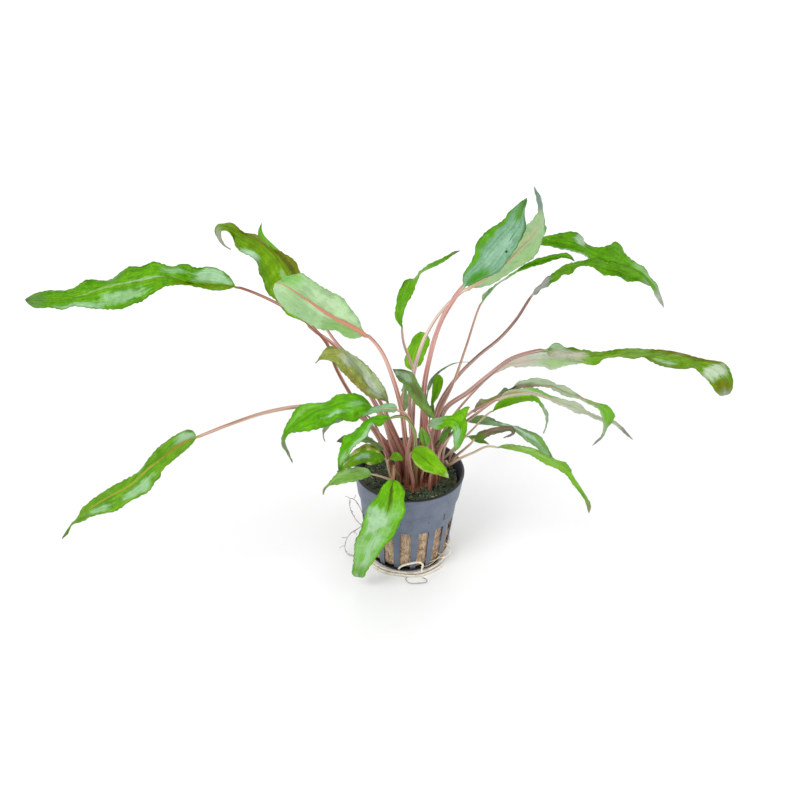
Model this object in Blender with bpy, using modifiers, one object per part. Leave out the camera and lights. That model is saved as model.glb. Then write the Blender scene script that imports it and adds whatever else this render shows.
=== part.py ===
"""Potted cryptocoryne: an aquarium plant in its slotted nursery pot.

World frame: metres, +Z up, origin at the middle of the pot's base, front towards -Y.
Sizes are written in millimetres and turned into metres by MM.
"""
from collections import namedtuple
from math import cos, pi, radians, sin

import bmesh
import bpy
import numpy as np
from mathutils import Matrix, Vector

MM = 0.001
GAP = 0.3                   # clearance between neighbouring pieces

# Pot
POT_HEIGHT = 50.0
RIM_RADIUS = 27.5
COLLAR_HEIGHT = 13.0        # upper band, a little wider than the wall below it
COLLAR_RADIUS = 25.6
NECK_RADIUS = 24.7
BASE_RADIUS = 18.4
HEEL_RADIUS = 20.9          # where the side turns in to the base
HEEL_HEIGHT = 5.0
WALL = 1.0
LIP = 1.6                   # thickness of the rim
POT_STEPS = 32
SLOT_COUNT = 16
SLOT_FIRST = -1.0           # degrees, measured from the front towards the right
SLOT_WIDTH = 5.3
SLOT_BOTTOM = 1.8
SLOT_TOP = 26.5
SLOT_MIDDLE = 20.0          # radius of the middle of a slot cutter, and its depth along the radius
SLOT_DEPTH = 12.0

# Growing plug and crown
PLUG_TOP = 44.6
PLUG_CROWN = 1.0            # how far the plug's top swells above its edge
PLUG_FLAT = 14.0            # radius of the level middle of its top
FOOT_GAP = 0.6
FOOT_RISE = 4.0             # height over which each stalk stands upright before it leans out
CROWN_AT = (3.0, -2.0)
CROWN_RADIUS = 10.0
CROWN_SINK = 2.5
CROWN_RISE = 1.4
CROWN_STEPS = 16

# The leaves' points are given as a viewer in front of the pot sees them: millimetres to the right of and
# above the rim's centre, and millimetres behind it. The viewer looks down at the rim from this far.
VIEW_DISTANCE = 1220.0
VIEW_PITCH = radians(35.7)
VIEW_TILT = radians(2.4)

# Distance between the cross-sections of a leaf, mm
STALK_STEP = 20.0
BLADE_STEP = 7.5

# Shape of a leaf's cross-section
MARGIN_LIFT = 0.22          # how far the margins rise above the midrib, as a share of the half width
RUFFLE_LAG = 2.2            # how far one margin's waves lag behind the other's, radians
RIB_LEAST = 0.35            # least half thickness, mm

Leaf = namedtuple(
    "Leaf", "foot stalk blade width faces thick colour ruffle waves widest full tail",
    defaults=(0.8, 3.5, 0.4, 1.6, 0.0))

# foot: the stalk's foot on the growing medium, (right, back) in mm
# stalk, blade: points along the midrib; the blade's first point is its neck, the last its tip
# width: across the blade at its widest, mm
# faces: degrees that the upper side is tipped towards the viewer, evenly spaced from neck to tip
# thick: diameter of the stalk at its foot, mm
# ruffle, waves: height in mm and number of the waves of the margin
# widest: where the blade is widest, 0 at the neck and 1 at the tip; full: how full it stays beyond that
# tail: share of the blade that is only a thin thread at its end
LEAVES = {
    "leaf_far_left": Leaf(
        (-5, 1), ((-11, 12, 3), (-22, 25, 8), (-30, 38, 11), (-37, 51, 13), (-41, 62, 15), (-50, 72, 18),
                  (-67, 83, 21)),
        ((-87, 90, 25), (-105, 95, 28), (-128, 93, 31), (-146, 89, 34), (-170, 85, 39), (-192, 84, 43)),
        20, (30, 30, 25, 20), 2.6, "bright", 1.5, 4.5, 0.45, 3.0),
    "leaf_upper_left": Leaf(
        (-3, 4), ((-7, 13, 8), (-18, 34, 19), (-30, 53, 29), (-38, 62, 34)),
        ((-47, 73, 41), (-60, 89, 50), (-73, 104, 57), (-84, 115, 61), (-91, 121, 61), (-97, 118, 58),
         (-95, 113, 55), (-89, 109, 53)),
        21, (35, 35, 25, 10), 2.6, "olive", 1.6, 4.5, 0.3, 1.5),
    "leaf_left_spike": Leaf(
        (-1, 7), ((-5, 13, 12), (-15, 34, 25), (-28, 54, 40), (-35, 61, 46), (-41, 69, 51)),
        ((-47, 80, 60), (-60, 97, 68), (-69.5, 109, 73), (-73.6, 115, 75), (-74.6, 119, 75.6), (-73.9, 123, 76)),
        9, (10, 10), 2.0, "bright"),
    "leaf_left_underside": Leaf(
        (1, -5), ((-2, 14, -8), (-4, 29, -11), (-8, 44, -15), (-15, 60, -20)),
        ((-22, 67, -23), (-38, 76, -28), (-54, 86, -33), (-64, 92, -35), (-68, 92, -26), (-64, 85, -18)),
        22, (-60, -68, -50), 2.6, "pale", 1.0, 4.0, 0.5, 3.0),
    "leaf_left_mottled": Leaf(
        (-2, -1), ((-7, 14, -3), (-12, 27, -6)),
        ((-16, 34, -8), (-23, 48, -12), (-31, 57, -15), (-37, 60, -17), (-43, 57, -19), (-47, 53, -20)),
        15, (45, 45, 20), 2.4, "mottled", 1.0),
    "leaf_left_wide": Leaf(
        (-5, -3), ((-9, 12, -6), (-14, 26, -9)),
        ((-19, 31, -12), (-28, 32, -18), (-37, 31, -23), (-46, 27, -28), (-54, 24, -33), (-61, 18, -37),
         (-62, 13, -38), (-60, 8, -38), (-58, 3, -38)),
        17, (25, 20, 15, 10), 2.4, "bright", 1.4, 3.5, 0.5, 3.5, 0.27),
    "leaf_left_pale": Leaf(
        (-1, -8), ((-1, 8, -12), (1, 20, -16), (-1, 26, -19)),
        ((-6, 29, -20), (-12, 30, -21), (-18, 28, -22), (-24, 25, -23)), 8, (15, 10), 2.2, "pale", 0.5),
    "leaf_left_hook": Leaf(
        (-9, -4), ((-13, 12, -5), (-18, 23, -8)),
        ((-22, 27, -9), (-33, 26, -12), (-41, 21, -14), (-43, 17, -14), (-42, 13, -14)),
        6, (0, 0), 1.4, "pale", 0.4),
    "leaf_left_down": Leaf(
        (3, -9), ((3, 8, -14), (2, 20, -20), (-3, 26, -23)),
        ((-8, 27, -25), (-14, 26, -27), (-20, 23, -29), (-27, 16, -32), (-33, 8, -34), (-36, 0, -35)),
        11, (20, 30, 30, 20), 2.2, "bright", 0.8, 3.0, 0.55, 1.8),
    "leaf_left_edge": Leaf(
        (-9, -7), ((-10.5, 1, -8.5), (-12.4, 8.6, -9)),
        ((-15.9, 13, -9.5), (-20, 14.8, -10.5), (-25, 16, -12.5), (-33.3, 15.8, -16), (-36, 13.5, -17)),
        5, (-20, -20), 1.4, "dull", 0.4),
    "leaf_left_scorched": Leaf(
        (-9, -10), ((-10, -2, -12), (-11, 3, -15)),
        ((-12, 5, -16), (-20, 7, -20), (-27, 5, -23), (-35, 0, -25)), 13, (20, 25, 20), 1.6, "scorched",
        1.0, 3.5, 0.45, 2.0),
    "leaf_left_low": Leaf(
        (-6, -13), ((-11, -5, -18),),
        ((-19, -3, -23), (-27, -3, -26), (-36, -6, -29), (-41, -9, -30), (-44, -12, -30)),
        9, (25, 30, 20), 1.5, "pale", 0.4, 3.0, 0.35, 1.6),
    "leaf_left_tiny": Leaf(
        (-8, -12), ((-10, -2, -15), (-11, 3, -18)),
        ((-10, 5, -20), (-7, 6, -21), (-3, 4, -22)), 5, (40, 40), 1.2, "bright", 0.2),
    "leaf_far_left_low": Leaf(
        (-9, -1.5), ((-12, 9, 0), (-22, 24, 4), (-37, 31, 3), (-55, 31, -6), (-72, 28, -18), (-90, 22, -31)),
        ((-107, 16, -43), (-124, 4, -55), (-140, -9, -66), (-156, -19, -77), (-174, -35, -89)),
        16, (25, 25, 15), 2.4, "bright", 1.2, 4.5, 0.42, 2.0),
    "leaf_front_drooping": Leaf(
        (-5, -9), ((-7, -1, -15), (-8, 1, -21)),
        ((-8, -5, -26), (-10, -14, -30), (-12, -21, -33), (-16, -33, -36), (-21, -45, -38), (-25, -53, -37),
         (-24, -51, -32)),
        21, (0, 0), 2.2, "fresh", 1.0, 3.5, 0.4, 5.0),
    "leaf_front_oval": Leaf(
        (2, -13), ((0, 2, -17), (0, 7, -20)),
        ((1, 9, -22), (6, 6, -24), (12, 1, -27), (19, -5, -29)), 13, (20, 25, 10), 1.8, "fresh", 0.4, 2.0),
    "leaf_centre_olive": Leaf(
        (6, -5), ((8, 8, -8), (11, 18, -10)),
        ((12, 23, -11), (7, 32, -10), (1, 41, -8), (-9, 50, -4)), 12, (35, 45, 30), 2.0, "mottled",
        0.6, 3.0, 0.55, 2.2),
    "leaf_centre_pale": Leaf(
        (0, 2), ((-1, 12, 2), (-3, 22, 2)),
        ((-3, 28, 2), (-3, 36, 2), (-2, 46, 2)), 7, (-30, -30), 1.6, "pale", 0.3),
    "leaf_centre_young": Leaf(
        (6, -9), ((8, 3, -13), (8, 8, -15)),
        ((8, 11, -17), (7, 16, -18), (6, 21, -19)), 6, (10, 10), 1.4, "bright", 0.2),
    "leaf_back_oval": Leaf(
        (2, 8), ((1, 14, 15), (0, 30, 25), (0, 42, 33)),
        ((1, 49, 38), (3, 55, 42), (4, 61, 45), (5, 68, 48)), 13, (10, 10), 1.8, "bright", 0.5, 3.0, 0.5, 2.6),
    "leaf_back_narrow": Leaf(
        (0, 5), ((1, 14, 8), (2, 30, 15), (2, 48, 24), (-3, 63, 33)),
        ((-4, 71, 38), (-6, 82, 45), (-2, 93, 51), (4, 96, 54), (12, 102, 57), (25, 109, 60)),
        9, (20, 40, 10, 10), 2.0, "bright", 0.8, 2.0, 0.35, 2.0),
    "leaf_centre_spoon": Leaf(
        (9, 0), ((10, 12, 2), (12, 25, 4)),
        ((11, 31, 5), (13, 37, 6), (15, 47, 7)), 5, (0, 10, 20), 1.6, "bright", 0.2, 2.0, 0.6, 2.6),
    "leaf_centre_bud": Leaf(
        (8, -3), ((10, 10, -3), (10, 20, -2)),
        ((10, 25, -2), (11, 29, -1), (12, 33, -1)), 4, (20, 20), 1.4, "bright", 0.1),
    "leaf_grassy": Leaf(
        (6, 3), ((7, 15, 6), (8, 30, 9)),
        ((9, 38, 11), (12, 45, 12), (19, 51, 11), (25, 53, 10), (32, 53, 9)), 5, (10, 10), 1.4, "dull", 0.2,
        2.0, 0.2),
    "leaf_right_hanging": Leaf(
        (10.5, -11), ((12, 4, -12), (11, 15, -16)),
        ((10, 21, -20), (17, 25, -24), (24, 24, -27), (28, 19, -29), (27, 13, -30), (22, 7, -31)),
        11, (10, 20, 20), 1.8, "fresh", 0.6, 2.5, 0.5, 1.8),
    "leaf_right_dark": Leaf(
        (13.5, -8.5), ((14, 5, -13), (16, 10, -16)),
        ((17, 13, -17), (19, 18, -18), (20, 22, -19)), 7, (30, 30), 1.4, "bright", 0.3),
    "leaf_right_brown": Leaf(
        (11, -3), ((11, 5, -5), (12, 8, -6)),
        ((12, 10, -6), (14, 12, -6), (16, 16, -6)), 4, (30, 30), 1.2, "scorched", 0.2),
    "leaf_top_blue": Leaf(
        (4, 0), ((8, 14, 2), (7, 38, 5), (10, 55, 8), (16, 74, 11)),
        ((26, 91, 14), (37, 103, 17), (46, 114, 20), (54, 125, 23), (59, 135, 26)),
        21, (40, 42, 35), 3.0, "blue", 1.2, 3.0, 0.38, 1.5),
    "leaf_top_underside": Leaf(
        (3, 3), ((2, 14, 6), (0, 32, 11), (2, 47, 15), (8, 66, 20), (18, 81, 24)),
        ((30, 90, 27), (45, 98, 31), (55, 107, 33), (62, 117, 35), (66, 128, 36), (64, 134, 36), (63, 141, 36)),
        20, (-70, -80, -60), 2.4, "pale", 1.0, 3.5, 0.4, 1.5),
    "leaf_right_thin": Leaf(
        (9, 4), ((11, 16, 6), (15, 28, 9), (22, 43, 12), (28, 60, 20), (35, 81, 30)),
        ((36, 85, 33), (44, 94, 41), (53, 100, 47), (63, 103, 51), (72, 106, 53), (79, 107, 54), (83, 103, 53)),
        6, (-10, 20, 0), 1.8, "bright", 0.4, 3.0, 0.5, 2.0),
    "leaf_right_bright": Leaf(
        (5, 8), ((6, 18, 15), (7.3, 38.8, 27), (9.8, 55.3, 35.5), (13, 67, 40.5), (17.2, 77.3, 45.5),
                 (26.8, 91.3, 52.5), (45, 105, 60)),
        ((62, 113, 66), (76, 114, 70), (85, 111, 72), (91, 107, 74), (100, 106, 76), (110, 102, 78),
         (118, 97, 80), (123, 90, 80), (127, 81, 80)),
        15, (15, 20, 20), 2.4, "bright", 2.0, 3.5, 0.5, 2.0),
    "leaf_right_arching": Leaf(
        (10, 8), ((12, 17, 11), (14, 30, 15), (24, 46, 21), (34, 56, 27), (45, 65, 32), (53, 74, 35)),
        ((61, 86, 38), (66, 92, 40), (72, 97, 42), (78, 100, 44), (88, 101, 47), (98, 99, 50), (109, 96, 54),
         (120, 92, 58)),
        10, (-10, 0, 5), 2.2, "bright", 1.0, 4.0, 0.55, 2.2),
    "leaf_right_long": Leaf(
        (12, 0), ((14, 16, 0), (18, 30, -2), (29, 38, -5), (40, 47, -8), (51, 55, -11), (60, 58, -13)),
        ((69, 59, -15), (80, 58, -17), (95, 56, -20), (110, 57, -23), (125, 57, -26), (140, 54, -29),
         (151, 50, -32), (157, 44, -37), (158, 37, -41)),
        16, (-20, -14, -10, -5, 5), 2.8, "bright", 1.3, 5.0, 0.5, 4.0),
    "leaf_right_pale": Leaf(
        (13, 4), ((16, 16, 5), (21, 25, 4), (29, 35, 2)),
        ((38, 44, -1), (50, 51, -4), (65, 54, -8), (80, 55, -12), (96, 52, -16)), 10, (-45, -55, -45), 1.6, "pale",
        0.6),
    "leaf_right_hooked": Leaf(
        (14.5, -2.5), ((16, 14, -6), (24, 23, -13), (34, 30, -21), (44, 35, -28)),
        ((50, 39, -32), (60, 42, -38), (69, 42, -43), (79, 39, -48), (88, 35, -52), (96, 31, -56), (99, 25, -58),
         (97, 18, -58), (91, 11, -58)),
        11, (-60, -60, -55, -45, 20, 50, 50), 2.0, "purple", 0.8, 4.0, 0.5, 3.0, 0.14),
    "leaf_right_purple": Leaf(
        (12.5, -5.5), ((16, 11, -10), (24, 20, -18), (33, 27, -26)),
        ((45, 35, -33), (60, 38, -39), (70, 35, -42), (82, 31, -45), (95, 25, -47), (103, 22, -48), (112, 14, -49)),
        10, (-45, -50, -50), 2.0, "purple", 0.9, 5.0, 0.4, 2.0, 0.2),
    "leaf_right_yellow": Leaf(
        (15, 8), ((17, 5, 3), (23, 11, -5), (31, 19, -14), (40, 28, -22)),
        ((45, 31, -24), (54, 34, -27), (64, 34, -30), (69, 30, -32), (69, 24, -33), (67, 18, -33)),
        8, (20, 30, 0), 1.4, "yellow", 0.5, 4.0, 0.35),
    "leaf_right_grey": Leaf(
        (16, 0), ((18, 12, -4), (24, 21, -8)),
        ((30, 25, -11), (40, 24, -15), (50, 21, -19), (57, 19, -22), (66, 13, -25), (72, 5, -27)),
        8, (10, 20, 30), 1.6, "dull", 0.6, 3.5, 0.5, 2.0),
    "leaf_right_curled": Leaf(
        (16, 11), ((17, 2, 8), (24, 7, -1), (31, 13, -11)),
        ((35, 16, -17), (42, 18, -23), (49, 20, -27), (52, 19, -28), (50, 16, -28), (47, 15, -27)),
        7, (-30, -30, -20), 1.6, "purple", 0.4),
    "leaf_right_low": Leaf(
        (18, 8), ((19, 2, 3), (25, 5, -6), (32, 8, -15), (39, 11, -22)),
        ((45, 11, -27), (58, 9, -35), (68, 5, -41), (78, 0, -47), (84, -9, -51), (90, -21, -54)),
        9, (20, 25, 20), 1.6, "yellow", 0.6, 4.0, 0.45, 2.0),
    "leaf_right_tiny": Leaf(
        (20, 10.5), ((22, 9, 6), (26, 14, 2)),
        ((29, 16, -2), (35, 14, -6), (40, 12, -9)), 4, (10, 10), 1.2, "bright", 0.1),
}

# Roots: points in mm in the world frame, then the diameter
ROOT_STEPS = 3              # stretches between two of these points
ROOTS = {
    "root_base_inner": (((-17.2, -12.6, 1.2), (-12.3, -18, 1.0), (-4, -21, 0.9), (5, -21.3, 0.9), (12, -18, 1.0),
                         (17, -12.5, 1.4), (19.8, -8, 2.6)), 1.2),
    "root_base_outer": (((-18.2, -14.4, 0.8), (-10.8, -20.9, 0.7), (-2, -23.1, 0.7), (7, -23.1, 0.7),
                         (14, -18.6, 0.7), (18.9, -13, 0.8)), 1.0),
    "root_front_loop": (((-3.4, -21.6, 3.2), (-2.2, -22.4, 5.6), (2.2, -23.2, 8.2), (6.8, -22.6, 8.6),
                         (8.6, -22.4, 7.4), (8.2, -22.6, 4.6), (8.4, -22.3, 2.8)), 1.0),
    "root_floor_thread": (((8.4, -24.3, 0.6), (10.9, -25.8, 0.5), (10.7, -27.7, 0.5), (7.5, -28.7, 0.5),
                           (2.2, -28.9, 0.5), (0.4, -26, 0.5), (1.2, -24.3, 0.6)), 0.5),
    "root_left_upper": (((-20.6, -8.1, 17.5), (-24.6, -7, 20.5), (-28.1, -5, 25), (-29.2, -5, 29.5),
                         (-28.8, -6, 34.5), (-26.6, -8, 35), (-23.4, -11, 31.5), (-21.8, -12, 27)), 0.5),
    "root_left_lower": (((-21.4, 0.4, 14), (-25.3, -3, 13), (-28.7, -5, 11.4), (-31, -8, 6.5), (-30.3, -9, 3),
                         (-28.7, -9.5, 1.5), (-25.7, -9, 0.8), (-22, -8.4, 0.7)), 0.5),
    "root_right": (((19.4, -8.2, 11), (21.6, -9.6, 9), (22, -11, 6.4), (20.4, -12.6, 5.4), (17.8, -14.4, 6)), 0.6),
}

COLOURS = {
    "bright_leaf": (0.10, 0.33, 0.02), "olive_leaf": (0.12, 0.22, 0.02), "pale_leaf": (0.28, 0.45, 0.20),
    "mottled_leaf": (0.22, 0.28, 0.12), "dull_leaf": (0.20, 0.30, 0.18), "scorched_leaf": (0.20, 0.26, 0.05),
    "fresh_leaf": (0.20, 0.50, 0.06), "blue_leaf": (0.18, 0.36, 0.26), "purple_leaf": (0.28, 0.26, 0.20),
    "yellow_leaf": (0.26, 0.50, 0.08), "pot": (0.12, 0.14, 0.18), "plug": (0.30, 0.20, 0.12),
    "crown": (0.18, 0.08, 0.05), "root": (0.70, 0.60, 0.48),
}


def clear_scene():
    """Remove what a new file holds."""
    for thing in list(bpy.data.objects):
        bpy.data.objects.remove(thing, do_unlink=True)


def new_collection(name):
    group = bpy.data.collections.new(name)
    bpy.context.scene.collection.children.link(group)
    return group


def material(name, roughness=0.5):
    """A plain material in one of the named colours."""
    made = bpy.data.materials.get(name)
    if made is None:
        made = bpy.data.materials.new(name)
        made.use_nodes = True
        shader = made.node_tree.nodes["Principled BSDF"]
        shader.inputs["Base Color"].default_value = (*COLOURS[name], 1.0)
        shader.inputs["Roughness"].default_value = roughness
        shader.inputs["Metallic"].default_value = 0.0
    return made


def place(right, above, behind):
    """The world point, in mm, that the viewer in front sees at these distances from the rim's centre."""
    x = right * cos(VIEW_TILT) - above * sin(VIEW_TILT)
    rise = above * cos(VIEW_TILT) + right * sin(VIEW_TILT)
    near = VIEW_DISTANCE + cos(VIEW_PITCH) * behind
    z = rise * near - VIEW_DISTANCE * sin(VIEW_PITCH) * behind
    z /= VIEW_DISTANCE * cos(VIEW_PITCH) + sin(VIEW_PITCH) * rise
    spread = (near - sin(VIEW_PITCH) * z) / VIEW_DISTANCE
    return np.array((x * spread, behind, POT_HEIGHT + z))


def foot_point(foot):
    """Where a stalk starts: just above the crown, or above the plug beside it."""
    x, y = foot
    from_crown = np.hypot(x - CROWN_AT[0], y - CROWN_AT[1]) / CROWN_RADIUS
    rise = CROWN_RISE * max(0.0, 1.0 - from_crown ** 2)
    fall = PLUG_CROWN * max(0.0, np.hypot(x, y) - PLUG_FLAT) / (inner_radius(PLUG_TOP) - PLUG_FLAT)
    return np.array((x, y, PLUG_TOP + PLUG_CROWN + rise - fall + FOOT_GAP))


def smooth_line(points, count_between=12):
    """A Catmull-Rom curve through the points, spaced by their distances."""
    pts = np.array(points, float)
    knots = np.concatenate(([0.0], np.cumsum(np.linalg.norm(np.diff(pts, axis=0), axis=1) ** 0.75)))
    slopes = np.empty_like(pts)
    steps = np.diff(knots)[:, None]
    secants = np.diff(pts, axis=0) / steps
    slopes[1:-1] = (secants[:-1] * steps[1:] + secants[1:] * steps[:-1]) / (steps[1:] + steps[:-1])
    slopes[0] = 1.5 * secants[0] - 0.5 * slopes[1]
    slopes[-1] = 1.5 * secants[-1] - 0.5 * slopes[-2]
    line, marks = [], []
    for i in range(len(pts) - 1):
        marks.append(len(line))
        t = np.linspace(0.0, 1.0, count_between, endpoint=False)[:, None]
        h = steps[i]
        line.extend((2 * t**3 - 3 * t**2 + 1) * pts[i] + (t**3 - 2 * t**2 + t) * h * slopes[i]
                    + (3 * t**2 - 2 * t**3) * pts[i + 1] + (t**3 - t**2) * h * slopes[i + 1])
    marks.append(len(line))
    line.append(pts[-1])
    return np.array(line), marks


def midrib(leaf):
    """The leaf's line from foot to tip, the distance along it, and the distance at the neck."""
    foot = foot_point(leaf.foot)
    points = [foot, foot + np.array((0.0, 0.0, FOOT_RISE))]
    points += [place(*p) for p in leaf.stalk + leaf.blade]
    line, marks = smooth_line(points)
    along = np.concatenate(([0.0], np.cumsum(np.linalg.norm(np.diff(line, axis=0), axis=1))))
    return line, along, along[marks[2 + len(leaf.stalk)]]


def blade_shape(leaf, t):
    """Half width of the blade, 0 to 1, from neck (t=0) to tip (t=1)."""
    t = t / (1.0 - leaf.tail)
    if t >= 1.0:
        return 0.0
    if t < leaf.widest:
        return sin(0.5 * pi * t / leaf.widest) ** 0.8
    return (1.0 - ((t - leaf.widest) / (1.0 - leaf.widest)) ** leaf.full) ** 1.1


def unit(v):
    return v / np.linalg.norm(v)


def side_frame(tangent, across, face):
    """Side and upper-side directions of a leaf at one place, tipped by face degrees to the viewer."""
    side = unit(across - tangent * np.dot(across, tangent))
    up = np.cross(tangent, side)
    turn = radians(face)
    return side * cos(turn) + up * sin(turn), up * cos(turn) - side * sin(turn)


def leaf_rings(leaf):
    """Six-sided cross-sections along the leaf: round on the stalk, a shallow keeled vee on the blade."""
    line, along, neck = midrib(leaf)
    total = along[-1]
    stalk_count = max(3, round(neck / STALK_STEP))
    blade_count = max(4, round((total - neck) / BLADE_STEP))
    stations = np.concatenate((np.linspace(0.0, neck, stalk_count, endpoint=False),
                               np.linspace(neck, total, blade_count + 1)))
    heading = line[-1] * 0.5 + line[len(line) // 2] * 0.5 - line[0]
    across = unit(np.array((-heading[1], heading[0], 0.0)))
    towards = 1.0 if heading[0] >= 0 else -1.0
    rings = []
    for s in stations:
        centre = np.array([np.interp(s, along, line[:, k]) for k in range(3)])
        ahead = np.array([np.interp(min(s + 1.0, total), along, line[:, k]) for k in range(3)])
        behind = np.array([np.interp(max(s - 1.0, 0.0), along, line[:, k]) for k in range(3)])
        tangent = unit(ahead - behind)
        t = max(0.0, (s - neck) / (total - neck))
        face = np.interp(t, np.linspace(0.0, 1.0, len(leaf.faces)), leaf.faces)
        side, up = side_frame(tangent, across, towards * face)
        rings.append(cross_section(leaf, centre, side, up, t, s / total))
    return rings


def cross_section(leaf, centre, side, up, t, whole):
    """Six points around the midrib: top, left margin, left and middle of the keel, right of it, margin."""
    stalk = 0.5 * leaf.thick * (1.0 - 0.45 * whole) if t < 0.02 else 0.5 * leaf.thick * (0.55 - 0.4 * t)
    stalk = max(stalk, RIB_LEAST)
    half = max(stalk, 0.5 * leaf.width * blade_shape(leaf, t)) if t > 0.0 else stalk
    flat = min(1.0, max(0.0, (half / stalk - 1.0) / 2.0))
    lift = half * MARGIN_LIFT * flat
    waves = 2.0 * pi * leaf.waves * t
    left = lift + leaf.ruffle * flat * sin(waves)
    right = lift + leaf.ruffle * flat * sin(waves + RUFFLE_LAG)
    top = stalk * (0.9 - 0.3 * flat)
    shoulder = stalk * 0.8
    return [centre + up * top, centre + side * half + up * left,
            centre + side * shoulder - up * stalk * (0.5 - 0.1 * flat), centre - up * stalk * 0.95,
            centre - side * shoulder - up * stalk * (0.5 - 0.1 * flat), centre - side * half + up * right]


def loft(name, rings, colour, group):
    """A closed skin over rings of equal count, with a point cap at each end."""
    mesh = bmesh.new()
    loops = [[mesh.verts.new(Vector(p) * MM) for p in ring] for ring in rings]
    count = len(loops[0])
    for one, two in zip(loops, loops[1:]):
        for k in range(count):
            mesh.faces.new((one[k], one[(k + 1) % count], two[(k + 1) % count], two[k]))
    mesh.faces.new(reversed(loops[0]))
    mesh.faces.new(loops[-1])
    bmesh.ops.triangulate(mesh, faces=mesh.faces[:])
    bmesh.ops.recalc_face_normals(mesh, faces=mesh.faces[:])
    data = bpy.data.meshes.new(name)
    mesh.to_mesh(data)
    mesh.free()
    data.shade_smooth()
    made = bpy.data.objects.new(name, data)
    made.data.materials.append(material(colour))
    group.objects.link(made)
    return made


def turned(name, profile, steps, colour, group):
    """A profile of (radius, height) in mm, turned about +Z. It starts and ends on the axis."""
    data = bpy.data.meshes.new(name)
    verts = [(r * MM, 0.0, h * MM) for r, h in profile]
    data.from_pydata(verts, [(i, i + 1) for i in range(len(verts) - 1)], [])
    made = bpy.data.objects.new(name, data)
    screw = made.modifiers.new("Turn", "SCREW")
    screw.steps = steps
    screw.render_steps = steps
    screw.use_merge_vertices = True
    screw.merge_threshold = 0.00001
    made.data.materials.append(material(colour))
    group.objects.link(made)
    return made


def inner_radius(height):
    """Radius of the pot's inside at a height in mm."""
    heights = (WALL, HEEL_HEIGHT, POT_HEIGHT - COLLAR_HEIGHT, POT_HEIGHT)
    radii = (BASE_RADIUS - WALL, HEEL_RADIUS - WALL, NECK_RADIUS - WALL, RIM_RADIUS - LIP)
    return float(np.interp(height, heights, radii))


def make_pot(group, cutters):
    """The pot: a turned cup with its slots cut through the wall."""
    collar_foot = POT_HEIGHT - COLLAR_HEIGHT
    outside = [
        (RIM_RADIUS - LIP, POT_HEIGHT), (RIM_RADIUS, POT_HEIGHT), (RIM_RADIUS, POT_HEIGHT - 1.5),
        (COLLAR_RADIUS, collar_foot), (NECK_RADIUS, collar_foot - 0.8),
        (HEEL_RADIUS, HEEL_HEIGHT), (BASE_RADIUS + 1.0, 1.0), (BASE_RADIUS, 0.0),
    ]
    inside = [
        (BASE_RADIUS - WALL, WALL), (HEEL_RADIUS - WALL, HEEL_HEIGHT), (NECK_RADIUS - WALL, collar_foot),
    ]
    pot = turned("pot", [(0.0, WALL)] + inside + outside + [(0.0, 0.0)], POT_STEPS, "pot", group)
    for i in range(SLOT_COUNT):
        cut_slot(pot, i, cutters)
    return pot


def cut_slot(pot, index, cutters):
    """One upright slot through the wall."""
    turn = radians(SLOT_FIRST + index * 360.0 / SLOT_COUNT)
    height = SLOT_TOP - SLOT_BOTTOM
    bpy.ops.mesh.primitive_cube_add(size=MM)
    cutter = bpy.context.object
    cutter.data.transform(Matrix.Diagonal((SLOT_WIDTH, SLOT_DEPTH, height, 1.0)))
    cutter.location = Vector((SLOT_MIDDLE * sin(turn), -SLOT_MIDDLE * cos(turn), SLOT_BOTTOM + height / 2)) * MM
    cutter.rotation_euler = (0.0, 0.0, turn)
    cut_with(cutter, f"slot_{index:02d}", pot, cutters)


def cut_with(cutter, name, piece, cutters):
    """Hide the cutter and take it away from the piece."""
    cutter.name = f"{name}_cutter"
    cutter.hide_render = True
    cutter.display_type = "WIRE"
    for owner in list(cutter.users_collection):
        owner.objects.unlink(cutter)
    cutters.objects.link(cutter)
    cut = piece.modifiers.new(name, "BOOLEAN")
    cut.operation = "DIFFERENCE"
    cut.object = cutter


def make_plug(group, cutters):
    """The plug of mineral wool, with a recess for the crown."""
    top = PLUG_TOP
    profile = [(0.0, top + PLUG_CROWN), (PLUG_FLAT, top + PLUG_CROWN)]
    for height in (top, POT_HEIGHT - COLLAR_HEIGHT - 1.0, HEEL_HEIGHT, WALL + GAP):
        profile.append((inner_radius(height) - GAP, height))
    profile.append((0.0, WALL + GAP))
    plug = turned("growing_plug", profile, POT_STEPS, "plug", group)
    bpy.ops.mesh.primitive_cylinder_add(
        vertices=CROWN_STEPS, radius=(CROWN_RADIUS + GAP) * MM, depth=2 * CROWN_SINK * MM)
    cutter = bpy.context.object
    cutter.location = Vector((*CROWN_AT, top + PLUG_CROWN)) * MM
    cut_with(cutter, "crown_recess", plug, cutters)
    return plug


def make_crown(group):
    """The rootstock that the leaves grow from, a low dome in the plug's recess."""
    low = PLUG_TOP + PLUG_CROWN - CROWN_SINK + GAP
    high = PLUG_TOP + PLUG_CROWN
    profile = [(0.0, high + CROWN_RISE), (CROWN_RADIUS * 0.6, high + CROWN_RISE * 0.64), (CROWN_RADIUS, high),
               (CROWN_RADIUS * 0.92, low), (0.0, low)]
    crown = turned("crown", profile, CROWN_STEPS, "crown", group)
    crown.location = Vector((*CROWN_AT, 0.0)) * MM
    return crown


def make_leaf(name, leaf, group):
    return loft(name, leaf_rings(leaf), f"{leaf.colour}_leaf", group)


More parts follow.
